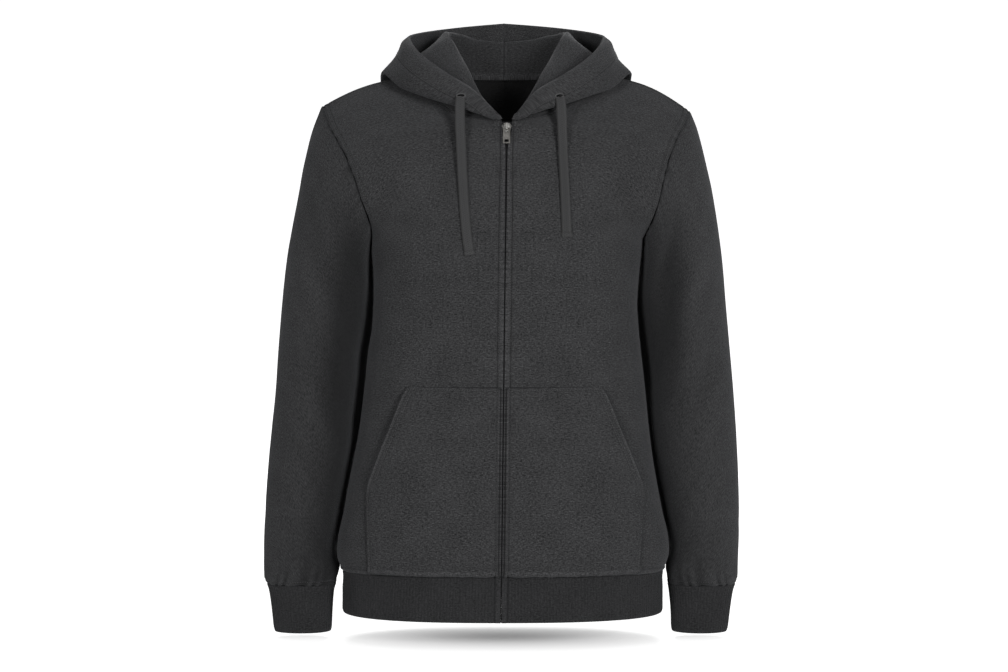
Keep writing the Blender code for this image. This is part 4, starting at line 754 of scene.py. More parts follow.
def panel_relief(sheet, rise, face):
    """Height of a panel's cloth over its plain form: seams, stitches and the zip edge's flange."""
    across = lengths(sheet, 1)
    up = lengths(sheet, 0)
    beyond = across[:, -1:] - across
    below_top = up[-1:] - up
    rising = rise[:, None]
    armhole = np.clip((rising - UNDERARM) * 2, 0, 1)
    neck = np.clip((rising - NECK_ROW[face]) * 2, 0, 1)
    height = seam_relief(up, (HEM_STITCH,)) + seam_relief(below_top, (SHOULDER_STITCH,))
    height += HEM_RIDGE * bell(up - HEM_RIDGE_RISE, HEM_RIDGE_SOFT)
    height += puckers(across, up, 0.019, 0.0007)
    height += seam_relief(beyond) * (1 - armhole) + seam_relief(beyond, ARMHOLE_STITCHES) * armhole
    height += puckers(up, beyond, 0.023, 0.0005) * armhole
    height += seam_relief(across, (NECK_STITCH,)) * neck
    if face < 0:
        beside = across - flange_distance(sheet)[:, None]
        edge = FLANGE_STANDS / (1 + np.exp(beside / FLANGE_EDGE_SOFT))
        groove = FLANGE_GROOVE * bell(beside, GROOVE_SOFT)
        height += (edge - groove + puckers(up, np.abs(beside), 0.027, 0.00035)) * (1 - neck)
    return height


heather = heather_group()
fleece = heather_material("charcoal heather fleece", HEATHER_DARK, HEATHER_LIGHT, 0.46, 0.00035, 0.10)
brushed = heather_material("brushed inside", BRUSHED_DARK, BRUSHED_LIGHT, 0.0, 0.0006, 0.06)
rise = panel_rise()
surface = {}
nap_and_shade = {}
for side in (-1, 1):
    for face in (-1, 1):
        sheet = panel_sheet(side, face, rise)
        outward = outward_of(sheet, -side * face)
        relief = panel_relief(sheet, rise, face)
        depth = fold_relief(sheet, (BODY_FOLDS if face < 0 else BACK_FOLDS)[side])
        if face > 0:
            depth = depth * np.clip(lengths(sheet) / BACK_HEM_HELD, 0, 1)
        surface[side, face] = (sheet + outward * (relief - depth)[..., None], outward)
        # The cloth's tone: painted shade in the seams' grooves and in the folds, partly pressed pile, and a
        # painted highlight on ridges and on the fold over the hem seam.
        nap_and_shade[side, face] = nap_and_shade_of(relief, depth) + hem_highlight(lengths(sheet))

for side, name in ((-1, "left"), (1, "right")):
    sheet, outward = surface[side, -1]
    front = shell("front_" + name + "_cloth", drawn_in(sheet), outward, FLEECE, [fleece, brushed],
                  nap_and_shade=nap_and_shade[side, -1])
    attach(front, "garment")
    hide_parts("front_" + name)

(left_half, left_outward), (right_half, right_outward) = surface[-1, 1], surface[1, 1]
neck_start = int(np.searchsorted(rise, NECK_ROW[1]))
centre = unit(left_outward[:neck_start + 1, 0] + right_outward[:neck_start + 1, 0])
left_outward[:neck_start + 1, 0] = right_outward[:neck_start + 1, 0] = centre
sheet = np.concatenate([drawn_in(left_half, first=neck_start)[:, ::-1],
                        drawn_in(right_half, first=neck_start)], axis=1)
outward = np.concatenate([left_outward[:, ::-1], right_outward], axis=1)
back = shell("back_cloth", sheet, outward, FLEECE, [fleece, brushed],
             slit=(left_half.shape[1] - 1, neck_start),
             nap_and_shade=np.concatenate([nap_and_shade[-1, 1][:, ::-1], nap_and_shade[1, 1]], axis=1))
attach(back, "garment")
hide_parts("back")


# ---- sleeves ------------------------------------------------------------------------------------
# Each sleeve is one piece of fleece, closed by a seam on its inner side and set into the armhole. It is
# eased into the cuff, so it stands in folds at the elbow, under the arm and over the cuff.

SLEEVE_SQUARENESS = 2.15
SLEEVE_CLEAR = 0.0026
SLEEVE_TUCK = 0.019            # how far the inner side's back half is pressed in, behind the body
SLEEVE_TUCK_BACK = 0.035       # the depth at which it is in full
SLEEVE_TUCK_ROWS = (0, 1.5, 10, 12)
SLEEVE_ROWS = np.array((
    # left and its height, right and its height, height of the inner edge, depth to the front and back
    (0.2275, -0.0425, 0.2325, -0.0485, -0.2215, 0.078, 0.090),
    (0.2415, -0.0780, 0.2440, -0.0780, -0.2480, 0.080, 0.090),
    (0.2525, -0.1270, 0.2550, -0.1270, -0.2830, 0.080, 0.087),
    (0.2615, -0.1790, 0.2642, -0.1790, -0.3170, 0.077, 0.082),
    (0.2700, -0.2350, 0.2718, -0.2350, -0.3560, 0.073, 0.076),
    (0.2765, -0.2900, 0.2765, -0.2900, -0.3970, 0.069, 0.071),
    (0.2812, -0.3450, 0.2815, -0.3450, -0.4360, 0.065, 0.065),
    (0.2850, -0.4000, 0.2862, -0.4000, -0.4750, 0.061, 0.059),
    (0.2908, -0.4550, 0.2900, -0.4550, -0.5130, 0.057, 0.052),
    (0.2958, -0.5130, 0.2926, -0.5130, -0.5520, 0.053, 0.046),
    (0.2990, -0.5680, 0.2934, -0.5650, -0.5890, 0.048, 0.040),
    (0.2997, -0.6080, 0.2921, -0.6080, -0.6150, 0.044, 0.036),
    (0.2992, -0.6280, 0.2913, -0.6280, -0.6300, 0.041, 0.033),
    (0.2962, -0.6380, 0.2890, -0.6380, -0.6380, 0.037, 0.030),
))
SLEEVE_END_INNER = {-1: (0.2085, 0.2095), 1: (0.2035, 0.2042)}     # inner edge of the last two rows
SLEEVE_FOLDS = {
    # x and z of the start, x and z of the end, width, depth: under nought is a ridge
    -1: ((-0.1830, -0.1950, -0.1700, -0.2500, 0.013, 0.0070),
         (-0.2320, -0.3200, -0.1960, -0.4300, 0.020, 0.0060),
         (-0.2560, -0.2300, -0.2420, -0.3300, 0.018, -0.0030),
         (-0.2700, -0.6000, -0.2250, -0.6040, 0.012, 0.0030),
         (-0.2500, -0.1500, -0.2150, -0.2600, 0.018, 0.0035)),
    1: ((0.2150, -0.1930, 0.1830, -0.3800, 0.018, 0.0070), (0.2390, -0.1480, 0.2160, -0.2180, 0.016, -0.0040),
        (0.2440, -0.2330, 0.2250, -0.3050, 0.016, -0.0030), (0.2500, -0.3400, 0.2150, -0.4700, 0.018, 0.0040),
        (0.2650, -0.6050, 0.2150, -0.6120, 0.012, 0.0030)),
}
SLEEVE_CREASES = {
    # the same, and the side it shows on: -1 the front, 1 the back
    -1: ((-0.1860, -0.1850, -0.1900, -0.4300, 0.0230, 0.0110, -1),
         (-0.1960, -0.2100, -0.1800, -0.2620, 0.0070, 0.0030, -1),
         (-0.2170, -0.1500, -0.1880, -0.2060, 0.0110, 0.0020, -1),
         (-0.2100, -0.2500, -0.1880, -0.3260, 0.0120, 0.0026, -1),
         (-0.2480, -0.3560, -0.2120, -0.4280, 0.0100, 0.0022, -1),
         (-0.2760, -0.4560, -0.2260, -0.5010, 0.0110, 0.0018, -1),
         (-0.2880, -0.5500, -0.2360, -0.5760, 0.0100, 0.0024, -1),
         (-0.2800, -0.6120, -0.2640, -0.6300, 0.0060, 0.0016, -1),
         (-0.2480, -0.6080, -0.2440, -0.6320, 0.0060, 0.0018, -1),
         (-0.2120, -0.2000, -0.1780, -0.2560, 0.0100, 0.0036, 1),
         (-0.2500, -0.3300, -0.2080, -0.3760, 0.0120, 0.0030, 1),
         (-0.2700, -0.4200, -0.2180, -0.4480, 0.0120, 0.0030, 1),
         (-0.2860, -0.5600, -0.2300, -0.5840, 0.0110, 0.0028, 1)),
    1: ((0.1950, -0.1900, 0.1960, -0.4000, 0.0220, 0.0110, -1),
        (0.2050, -0.2000, 0.1880, -0.2720, 0.0080, 0.0034, -1),
        (0.2280, -0.1700, 0.2080, -0.2300, 0.0090, 0.0022, -1),
        (0.2330, -0.2900, 0.2060, -0.3640, 0.0110, 0.0024, -1),
        (0.2600, -0.3700, 0.2240, -0.4360, 0.0110, 0.0022, -1),
        (0.2740, -0.4700, 0.2260, -0.5160, 0.0110, 0.0020, -1),
        (0.2820, -0.5620, 0.2280, -0.5860, 0.0100, 0.0026, -1),
        (0.2720, -0.6100, 0.2620, -0.6310, 0.0060, 0.0016, -1),
        (0.2360, -0.6060, 0.2380, -0.6320, 0.0060, 0.0018, -1),
        (0.2160, -0.2020, 0.1840, -0.2640, 0.0100, 0.0036, 1),
        (0.2560, -0.3360, 0.2120, -0.3800, 0.0120, 0.0030, 1),
        (0.2720, -0.4300, 0.2200, -0.4560, 0.0120, 0.0028, 1),
        (0.2840, -0.5560, 0.2260, -0.5800, 0.0110, 0.0028, 1)),
}
SLEEVE_INNER_SHADE = {-1: 0.80, 1: 0.50}     # painted shade on its inner side, next to the body
SLEEVE_SHADE_ALL_OVER = {-1: 0.13, 1: 0.02}       # and painted shade all over
CREASE_TURN = 0.024            # the depth over which a crease of one side fades round to the other
SLEEVE_RING = 6 * 2 * (SHOULDER - UNDERARM)
SLEEVE_STEPS = 138
CUFF_STITCH = 0.0052


def oval(outer, inner, front, back):
    """A ring of points on a superellipse from its inner end past the front, the outer end and the back,
    evenly spaced."""
    angle = np.linspace(0, 2 * math.pi, 4 * SLEEVE_RING + 1)
    cosine = np.sign(np.cos(angle)) * np.abs(np.cos(angle)) ** (2 / SLEEVE_SQUARENESS)
    sine = np.sign(np.sin(angle)) * np.abs(np.sin(angle)) ** (2 / SLEEVE_SQUARENESS)
    ring = (outer + inner) / 2 + cosine[:, None] * (inner - outer) / 2
    ring[:, 1] += np.where(sine > 0, -front, back) * np.abs(sine)
    run = lengths(ring)
    at = np.linspace(0, run[-1], SLEEVE_RING, endpoint=False)
    return np.stack([np.interp(at, run, ring[:, axis]) for axis in range(3)], axis=1)


def armhole_ring(side):
    """The armhole's edge, round from the underarm past the front and the shoulder to the back."""
    at = np.linspace(UNDERARM, SHOULDER, SLEEVE_RING // 2 + 1)
    return np.concatenate([side_line(side, -1, at), side_line(side, 1, at)[-2:0:-1]])


def sleeve_sheet(side):
    """A sleeve's rings from the armhole down, and the depth of fold that gives as much painted shade as its
    folds do, with more painted shade on its inner side next to the body and a little all over."""
    column = 0 if side < 0 else 2
    heights = SLEEVE_ROWS[:, 4].copy()
    above = np.maximum(half_width(side, heights), half_width(side, heights - 0.012))
    inner = above + SLEEVE_CLEAR
    inner[-2:] = SLEEVE_END_INNER[side]
    inner[0], heights[0] = ARMHOLE_ROWS[0, column], ARMHOLE_ROWS[0, column + 1]
    rings = [oval(np.array((side * row[column], 0.0, row[column + 1])), np.array((side * x, 0.0, z)),
                  row[5], row[6]) for row, x, z in zip(SLEEVE_ROWS, inner, heights)]
    coarse = np.array(rings)
    shift = armhole_ring(side) - coarse[0]
    coarse[:3] += shift * np.array((1.0, 0.45, 0.15))[:, None, None]
    run = lengths(coarse).mean(axis=1)
    number = np.interp(spread(run[-1:], SLEEVE_STEPS)[0], run, np.arange(len(run)))
    sheet = through(np.arange(len(coarse)), coarse, number)
    outward = unit(sheet - sheet.mean(axis=1, keepdims=True))
    ease = (np.minimum(1, number / 2) * np.minimum(1, (len(coarse) - 1 - number) * 1.5))[:, None]
    depth = fold_relief(sheet, SLEEVE_FOLDS[side]) * ease
    for *fold, shows in SLEEVE_CREASES[side]:
        depth += fold_relief(sheet, [fold]) * ease * np.clip(0.5 + shows * sheet[..., 1] / CREASE_TURN, 0, 1)
    sheet = sheet - outward * depth[..., None]
    middle = (sheet[..., 0].max(axis=1) + sheet[..., 0].min(axis=1))[:, None] / 2
    inner_share = np.clip(side * (middle - sheet[..., 0]) / np.ptp(sheet[..., 0], axis=1)[:, None] * 2, 0, 1)
    back = np.clip(sheet[..., 1] / SLEEVE_TUCK_BACK, 0, 1)
    tuck = SLEEVE_TUCK * np.interp(number, SLEEVE_TUCK_ROWS, (0, 1, 1, 0))[:, None]
    sheet[..., 0] -= side * tuck * inner_share**2 * back**2 * (3 - 2 * back)
    sheet[1:-1] = clear_of_body(side, sheet[1:-1])
    # Painted shade on the inner side next to the body, and a little all over.
    near_body = inner_share**1.25 * np.clip(number / 2.5, 0, 1)[:, None]
    return sheet, depth + FOLD_SHADE_DEPTH * (SLEEVE_INNER_SHADE[side] * near_body + SLEEVE_SHADE_ALL_OVER[side])


def clear_of_body(side, points):
    """The points, moved sideways where they would come closer than the clearance to the body's side,
    which is an oval section at every height."""
    shape = points.shape
    flat = points.reshape(-1, 3).copy()
    height = np.minimum(flat[:, 2], SIDE_ROWS[-1, 0])
    depth = np.where(flat[:, 1] < 0, middle_depth(-1, height), middle_depth(1, height))
    share = np.clip(1 - np.abs(flat[:, 1] / depth) ** SQUARENESS, 0, 1) ** (1 / SQUARENESS)
    least = np.where(share > 0, half_width(side, height) * share + SLEEVE_CLEAR, 0)
    flat[:, 0] = side * np.maximum(side * flat[:, 0], least)
    return flat.reshape(shape)


def sleeve_relief(sheet):
    """Height of a sleeve's cloth over its plain form: the seams, the stitches and their puckers."""
    closed = np.concatenate([sheet, sheet[:, :1]], axis=1)
    around = lengths(closed, 1)
    from_seam = np.minimum(around[:, :-1], around[:, -1:] - around[:, :-1])
    down = lengths(sheet, 0)
    left = down[-1:] - down
    height = seam_relief(down) + seam_relief(from_seam) + seam_relief(left, (CUFF_STITCH,))
    height += puckers(around[:, :-1], down, 0.021, 0.0007, 0.012)
    return height + puckers(around[:, :-1], left, 0.017, 0.0013, 0.014)


sleeve_surface = {}
for side, name in ((-1, "left"), (1, "right")):
    sheet, dark = sleeve_sheet(side)
    outward = outward_of(sheet, -side, closed=True)
    relief = sleeve_relief(sheet)
    sheet = sheet + outward * relief[..., None]
    sleeve_surface[side] = (sheet, outward)
    # Its tone: painted shade in grooves and folds and on the inner side, and a painted highlight on ridges.
    sleeve = shell("sleeve_" + name + "_cloth", drawn_in(sheet, closed=True), outward, FLEECE,
                   [fleece, brushed], closed=True, nap_and_shade=nap_and_shade_of(relief, dark))
    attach(sleeve, "garment")
    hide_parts("sleeve_" + name)


# ---- hood ---------------------------------------------------------------------------------------
# The hood lies back. It is two panels with a lining of the same cloth, sewn together along the middle
# and into the neckline, and its face edge is turned in for the drawcords' casing, with an eyelet worked
# in thread where each cord comes out.

HOOD_WALL = 0.0028
HOOD_LINES = {
    # from the zip to the centre back, the hood's lines from the neck seam over to the face edge
    "station": (0, 1, 2, 3.4, 5, 6.6, 8, 9),
    "ridge": ((0.0082, -0.0868, -0.0668), (0.0290, -0.0700, -0.0410), (0.0440, -0.0440, -0.0100),
              (0.0560, -0.0080, 0.0200), (0.0680, 0.0260, 0.0500), (0.0700, 0.0600, 0.0580),
              (0.0420, 0.0890, 0.0540), (0.0000, 0.0980, 0.0517)),
    "trough": ((0.0080, -0.0905, -0.0665), (0.0310, -0.0835, -0.0470), (0.0560, -0.0620, -0.0240),
               (0.0800, -0.0330, -0.0040), (0.1080, 0.0140, 0.0235), (0.0940, 0.0740, -0.0080),
               (0.0480, 0.0940, -0.0380), (0.0000, 0.0985, -0.0500)),
    "fold": ((0.0088, -0.0950, -0.0692), (0.0340, -0.1000, -0.0625), (0.0720, -0.0800, -0.0480),
             (0.1190, -0.0450, -0.0300), (0.1530, -0.0020, -0.0050), (0.1340, 0.0980, -0.0850),
             (0.0760, 0.1220, -0.1600), (0.0000, 0.1300, -0.1880)),
    "belly": ((0.0087, -0.0975, -0.0702), (0.0345, -0.1040, -0.0540), (0.0745, -0.0870, -0.0370),
              (0.1200, -0.0560, -0.0150), (0.1385, 0.0000, 0.0150), (0.1400, 0.1020, -0.0150),
              (0.0820, 0.1500, -0.0950), (0.0000, 0.1640, -0.1100)),
    "edge": ((0.0085, -0.0988, -0.0714), (0.0324, -0.0970, -0.0372), (0.0679, -0.0860, -0.0142),
             (0.1000, -0.0590, 0.0118), (0.1184, -0.0120, 0.0385), (0.1160, 0.0450, 0.0560),
             (0.0600, 0.1120, 0.0740), (0.0000, 0.1400, 0.0833)),
}
HOOD_KEYS = (0.0, 3.0, 7.0, 12.0, 16.0, 22.0)
HOOD_RESTS = 5.5              # the first key, past the ridge, that may rest on the body
HOOD_STAND = 0.0062           # the middle of its wall over the body
HOOD_WIDER_RIGHT = 0.006
HOOD_STATIONS = 96
HOOD_STEPS = 118
CASING = 0.0255               # from the face edge to the casing's stitches
EDGE_ROLL = 0.0042            # how far the face edge rolls in
ROLL_START = 20.3             # and the key from which on it does
STATION_KEYS = 7              # keys that are about as long as a station
CASING_SWELL = 0.0011         # how much thicker the casing is where the cord runs in it
CENTRE_STITCH = 0.0042
HOOD_RIM_HIGHLIGHT = 0.20         # a painted highlight: how much lighter the face edge's fold is
HOOD_SEAM_SHADE = 0.30         # painted shade: how much darker the neck seam is
CASING_STITCH_SHADE = 0.12            # and painted shade along the casing's line of stitches
HOOD_INSIDE_SHADE = 0.34       # painted shade: how much darker the lining is round the neck
HOOD_FOLDS = {
    # station and key of the start, station and key of the end, width in stations, depth
    -1: ((7.2, 2.2, 7.9, 5.0, 0.45, 0.0046), (1.6, 4.0, 3.2, 9.0, 0.55, 0.0022),
         (2.6, 16.5, 3.6, 11.0, 0.50, 0.0018), (4.4, 1.5, 5.4, 6.0, 0.45, -0.0020),
         (5.6, 17.0, 6.6, 12.5, 0.55, 0.0022), (6.8, 4.5, 7.4, 9.5, 0.50, 0.0024),
         (3.4, 19.5, 4.6, 15.5, 0.40, 0.0016),
         (1.2, 13.0, 1.9, 9.0, 0.40, 0.0014), (7.6, 13.0, 8.3, 18.0, 0.50, 0.0018)),
    1: ((7.4, 1.8, 8.0, 4.6, 0.40, 0.0034), (1.4, 4.5, 2.9, 9.5, 0.55, 0.0022),
        (2.3, 17.0, 3.4, 11.5, 0.50, 0.0020), (4.7, 1.5, 5.8, 6.5, 0.45, -0.0018),
        (5.2, 16.5, 6.3, 12.0, 0.55, 0.0024), (6.9, 5.0, 7.6, 10.0, 0.50, 0.0022),
        (3.8, 20.0, 4.9, 16.0, 0.40, 0.0015),
        (1.1, 12.5, 1.8, 8.5, 0.40, 0.0014), (7.4, 13.5, 8.2, 18.5, 0.50, 0.0018)),
}


def neckline(side, station):
    """Points of the half neckline at stations: the zip is 0, the shoulder seam 5, the centre back 9."""
    front = middle_line(side, -1, NECK_ROW[-1] + np.clip(station, 0, 5))
    back = middle_line(side, 1, SHOULDER - np.clip(station - 5, 0, 4))
    return np.where((station <= 5)[:, None], front, back)


def hood_sheet(side):
    """The middle of the hood's wall. Its lines are curves through the stations, and each column is a
    curve from the neck seam through those lines to the face edge."""
    station = np.concatenate([np.linspace(0, 8.4, HOOD_STATIONS, endpoint=False),
                              9 - NEAR_EDGE[::-1] / LAST_ROW])
    lines = [neckline(side, station)]
    for heading in ("ridge", "trough", "fold", "belly", "edge"):
        rows = np.array(HOOD_LINES[heading])
        if side > 0:
            rows[:, 0] += HOOD_WIDER_RIGHT * np.clip(rows[:, 0] / 0.06, 0, 1)
        line = through(HOOD_LINES["station"], rows, station) * (side, 1, 1)
        line[:, 0] += zip_x(ZIP_TOP_Z) * np.clip(1 - station, 0, 1)
        lines.append(line)
    fine = np.linspace(0, HOOD_KEYS[-1], 221)
    curves = through(HOOD_KEYS, np.array(lines), fine)
    run = lengths(curves).mean(axis=1)
    key = np.interp(spread(run[-1:], HOOD_STEPS)[0], run, fine)
    sheet = through(HOOD_KEYS, np.array(lines), key)
    return sheet, station, key


def laid_on_body(sheet, key):
    """The sheet, kept at its stand off the body's outside where it may rest on it, by a shrinkwrap."""
    covers = []
    for (side, face), (cloth, _) in surface.items():
        quads = grid_quads(*cloth.shape[:2])
        quads = quads[:, ::-1] if side * face > 0 else quads
        covers.append(mesh_piece("cover", cloth.reshape(-1, 3), quads, []))
    body = joined(covers)
    hood = mesh_piece("hood", sheet.reshape(-1, 3), grid_quads(*sheet.shape[:2]), [])
    resting = hood.vertex_groups.new(name="resting")
    first = int(np.searchsorted(key, HOOD_RESTS)) * sheet.shape[1]
    resting.add(range(first, sheet.shape[0] * sheet.shape[1]), 1.0, "REPLACE")
    wrap = hood.modifiers.new("rest", "SHRINKWRAP")
    wrap.target = body
    wrap.wrap_mode = "OUTSIDE"
    wrap.offset = HOOD_STAND
    wrap.vertex_group = "resting"
    worn = hood.evaluated_get(bpy.context.evaluated_depsgraph_get()).data
    points = np.empty(len(worn.vertices) * 3, np.float32)
    worn.vertices.foreach_get("co", points)
    for helper in (body, hood):
        bpy.data.objects.remove(helper, do_unlink=True)
    laid = points.reshape(sheet.shape).astype(float)
    laid[:, 0] = sheet[:, 0]
    laid[:, -1, 0] = 0
    return laid


def joined(pieces):
    """One mesh object from several."""
    whole = bmesh.new()
    for piece in pieces:
        whole.from_mesh(piece.data)
        bpy.data.objects.remove(piece, do_unlink=True)
    mesh = bpy.data.meshes.new("joined")
    whole.to_mesh(mesh)
    whole.free()
    thing = bpy.data.objects.new("joined", mesh)
    bpy.context.scene.collection.objects.link(thing)
    return thing


def softened(grid, rounds):
    """The grid with each inner row's points drawn towards the middle of their neighbours in the column
    before and after."""
    for _ in range(rounds):
        grid[1:-1] = grid[1:-1] * 0.5 + (grid[:-2] + grid[2:]) * 0.25
        grid[1:-1, 1:-1] = grid[1:-1, 1:-1] * 0.5 + (grid[1:-1, :-2] + grid[1:-1, 2:]) * 0.25
    return grid


def hood_relief(sheet):
    """How much thicker the hood is than its plain wall: it thins at the seams and the stitches."""
    down = lengths(sheet, 0)
    across = lengths(sheet, 1)
    from_middle = across[:, -1:] - across
    from_edge = down[-1:] - down
    return (seam_relief(down) + seam_relief(from_middle, (CENTRE_STITCH,))
            - 1.4 * GROOVE * bell(from_edge - CASING, GROOVE_SOFT)
            + CASING_SWELL * bell(from_edge - CASING / 2, 0.0075))


hood_surface = {}
for side, name in ((-1, "left"), (1, "right")):
    sheet, station, key = hood_sheet(side)
    outward = outward_of(sheet, side)
    place = np.stack([np.broadcast_to(station, sheet.shape[:2]), np.zeros(sheet.shape[:2]),
                      np.broadcast_to(key[:, None] / STATION_KEYS, sheet.shape[:2])], axis=-1)
    folds = [(a, b / STATION_KEYS, c, d / STATION_KEYS, width, depth)
             for a, b, c, d, width, depth in HOOD_FOLDS[side]]
    edges = np.clip(np.minimum(key, HOOD_KEYS[-1] - key) / 2.5, 0, 1)[:, None]
    edges = edges * np.clip((9 - station) / 0.8, 0, 1)
    roll = EDGE_ROLL * np.clip((key - ROLL_START) / (HOOD_KEYS[-1] - ROLL_START), 0, 1)[:, None] ** 2
    sheet = sheet - outward * (fold_relief(place, folds) * edges + roll)[..., None]
    sheet = softened(laid_on_body(sheet, key), 2)
    outward = outward_of(sheet, side)
    relief = hood_relief(sheet)
    thick = HOOD_WALL + 2 * relief[..., None]
    outer = sheet + outward * thick / 2
    down, across = lengths(sheet, 0), lengths(sheet, 1)
    from_edge, from_middle = down[-1:] - down, across[:, -1:] - across
    # The hood's tone: a painted highlight on the face edge's fold, painted shade in the neck seam and along
    # the casing's stitches, and inside a painted highlight and painted shade beside the centre seam and
    # painted shade over the lining round the neck.
    painted_rim = HOOD_RIM_HIGHLIGHT * bell(from_edge - 0.0012, 0.0010)
    fine = painted_rim - HOOD_SEAM_SHADE * bell(down, 0.0014) - CASING_STITCH_SHADE * bell(from_edge - CASING, 0.0014)
    shaded = np.clip((station - 5.4) / 1.6, 0, 1) * np.clip((4.6 - key) / 2.0, 0, 1)[:, None]
    neck_band = bell(down - 0.004, 0.0028)
    seam = 0.26 * bell(from_middle - 0.0026, 0.0010) - 0.45 * bell(from_middle, 0.0009)
    inside = painted_rim + seam - HOOD_INSIDE_SHADE * shaded * (1 - neck_band)
    hood_surface[side] = (outer, outward)
    hood = shell("hood_" + name + "_cloth", drawn_in(outer, joined_last=True), outward, thick,
                 [fleece, fleece], nap_and_shade=fine, nap_and_shade_inside=inside)
    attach(hood, "garment")
    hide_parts("hood_" + name)


# ---- neck tape ----------------------------------------------------------------------------------
# A band of the same cloth covers the back neck seam inside, from shoulder seam to shoulder seam.

NECK_TAPE_HALF = 0.0030
NECK_TAPE_DEPTH = (0.0044, 0.0052)
NECK_TAPE_ROUND = 0.00025


def neck_tape():
    """The band's section, a rectangle with soft corners, carried along the neckline, a little under it."""
    station = np.linspace(5, 9, 60)
    path = np.concatenate([neckline(-1, station), neckline(1, station)[-2::-1]])
    along = unit(np.gradient(path, axis=0))
    into = unit(np.cross((0.0, 0.0, 1.0), along))
    half, soft = NECK_TAPE_HALF, NECK_TAPE_ROUND
    near, far = NECK_TAPE_DEPTH
    section = ((-half, near + soft), (-half + soft, near), (half - soft, near), (half, near + soft),
               (half, far - soft), (half - soft, far), (-half + soft, far), (-half, far - soft))
    rings = np.array([path - into * depth + np.array((0.0, 0.0, z)) for z, depth in section])
    rings = rings.transpose(1, 0, 2)
    uv = np.stack([np.broadcast_to(np.arange(9) * 0.0015, (len(path), 9)),
                   np.broadcast_to(lengths(path)[:, None], (len(path), 9))], axis=-1).reshape(-1, 2)
    tape = mesh_piece("neck_tape_cloth", rings.reshape(-1, 3), grid_quads(len(path), 8, closed=True),
                      [fleece], uv, grid_quads(len(path), 9))
    faced_out(tape, ends=True)
    return tape


tape = neck_tape()
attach(tape, "garment")
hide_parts("neck_tape")


# ---- ribbed hem and cuffs -----------------------------------------------------------------------
# The hem band and the cuffs are doubled 1x1 rib, folded along their lower edges and sewn to the fleece.
# They draw it in, so it stands a little over them.

RIB_WALL = 0.0020
RIB_RAISE = 0.0006
RIB_PITCH = 0.0038
RIB_SPLIT = 6                  # columns a rib
HEM_HALFWAY = -0.6420
HEM_BOTTOM = -0.6705
CUFF_ROWS = np.array((
    # height, outer and inner edge on the left, the same on the right, depth to the front and the back
    (-0.6380, 0.2958, 0.2100, 0.2886, 0.2046, 0.0362, 0.0292),
    (-0.6480, 0.2926, 0.2130, 0.2852, 0.2064, 0.0340, 0.0270),
    (-0.6680, 0.2898, 0.2146, 0.2822, 0.2084, 0.0310, 0.0250),
    (-0.6975, 0.2865, 0.2158, 0.2784, 0.2094, 0.0290, 0.0235),
))
BAND_ROWS = np.array((0, 0.02, 0.05, 0.09, 0.15, 0.24, 0.36, 0.48, 0.60, 0.72, 0.83, 0.91, 0.96, 0.985, 1.0))
RIB_DARK = (0.0050, 0.0050, 0.0053, 1.0)
RIB_LIGHT = (0.0365, 0.0367, 0.0382, 1.0)


def even_columns(line, count, closed=False):
    """Points spaced evenly along a line; a closed one leaves out the end, which is its start."""
    run = lengths(line)
    at = np.linspace(0, run[-1], count, endpoint=not closed)
    return np.stack([np.interp(at, run, line[:, axis]) for axis in range(3)], axis=1)


def hem_line(height, low):
    """The hem's outline at one height: from the zip round the right side, the back and the left."""
    quarters = []
    for side, face in ((1, -1), (1, 1), (-1, 1), (-1, -1)):
        angle = np.linspace(0, math.pi / 2, 241)
        start_x = zip_x(height) + side * ZIP_HALF_OPENING if face < 0 else 0.0
        start_y = face * middle_depth(face, low)[0]
        x = start_x + (side * half_width(side, low)[0] - start_x) * np.sin(angle) ** (2 / SQUARENESS)
        y = start_y * np.abs(np.cos(angle)) ** (2 / SQUARENESS)
        z = height + (low - height) * np.linspace(0, 1, 241)
        quarter = np.stack([x, y, z], axis=1)
        quarters.append(quarter if side * face < 0 else quarter[::-1])
    return np.concatenate([quarters[0]] + [quarter[1:] for quarter in quarters[1:]])


def ribbed_band(name, rings, closed, way):
    """A band of rib from its plain rings, top first: ribs are raised as a rounded wave, which flattens
    at the seam and runs out over the fold at the bottom, where the wall is drawn round. An open band's
    ends have the zip edge's flange."""
    outward = unit(outward_of(rings, way, closed) * (1, 1, 0))
    phase = np.arange(rings.shape[1]) / RIB_SPLIT * 2 * math.pi
    swell = (0.5 - 0.5 * np.cos(phase)) ** 0.8
    share = BAND_ROWS[:, None]
    fading = np.clip(share / 0.05, 0.25, 1) * np.clip((1 - share) / 0.03, 0.35, 1)
    waver = 1 + 0.12 * np.sin(phase * 0.31 + share * 9.0)
    relief = RIB_RAISE * swell * fading * waver
    relief -= 0.0006 * np.clip((share - 0.9) / 0.1, 0, 1) ** 2
    # The band's tone: painted shade between the ribs and in the seam; at an open band's ends a painted
    # highlight on the flange and painted shade in its groove.
    fine = -0.00030 * (1 - swell) * fading - SEAM_DIP * bell(share, 0.03)
    if not closed:
        across = lengths(rings, 1)
        from_end = np.minimum(across, across[:, -1:] - across)
        plain = 1 / (1 + np.exp((from_end - FLANGE) / FLANGE_EDGE_SOFT))
        groove = 0.6 * FLANGE_GROOVE * bell(from_end - FLANGE, GROOVE_SOFT)
        relief = relief * (1 - plain) + 0.0005 * plain - groove
        fine = fine * (1 - plain) + 0.0008 * plain - 1.4 * groove
    outer = rings + outward * relief[..., None]
    wall = RIB_WALL + relief[..., None]
    return shell(name, outer, outward, wall, [rib, rib], closed=closed, nap_and_shade=nap_and_shade_of(fine))


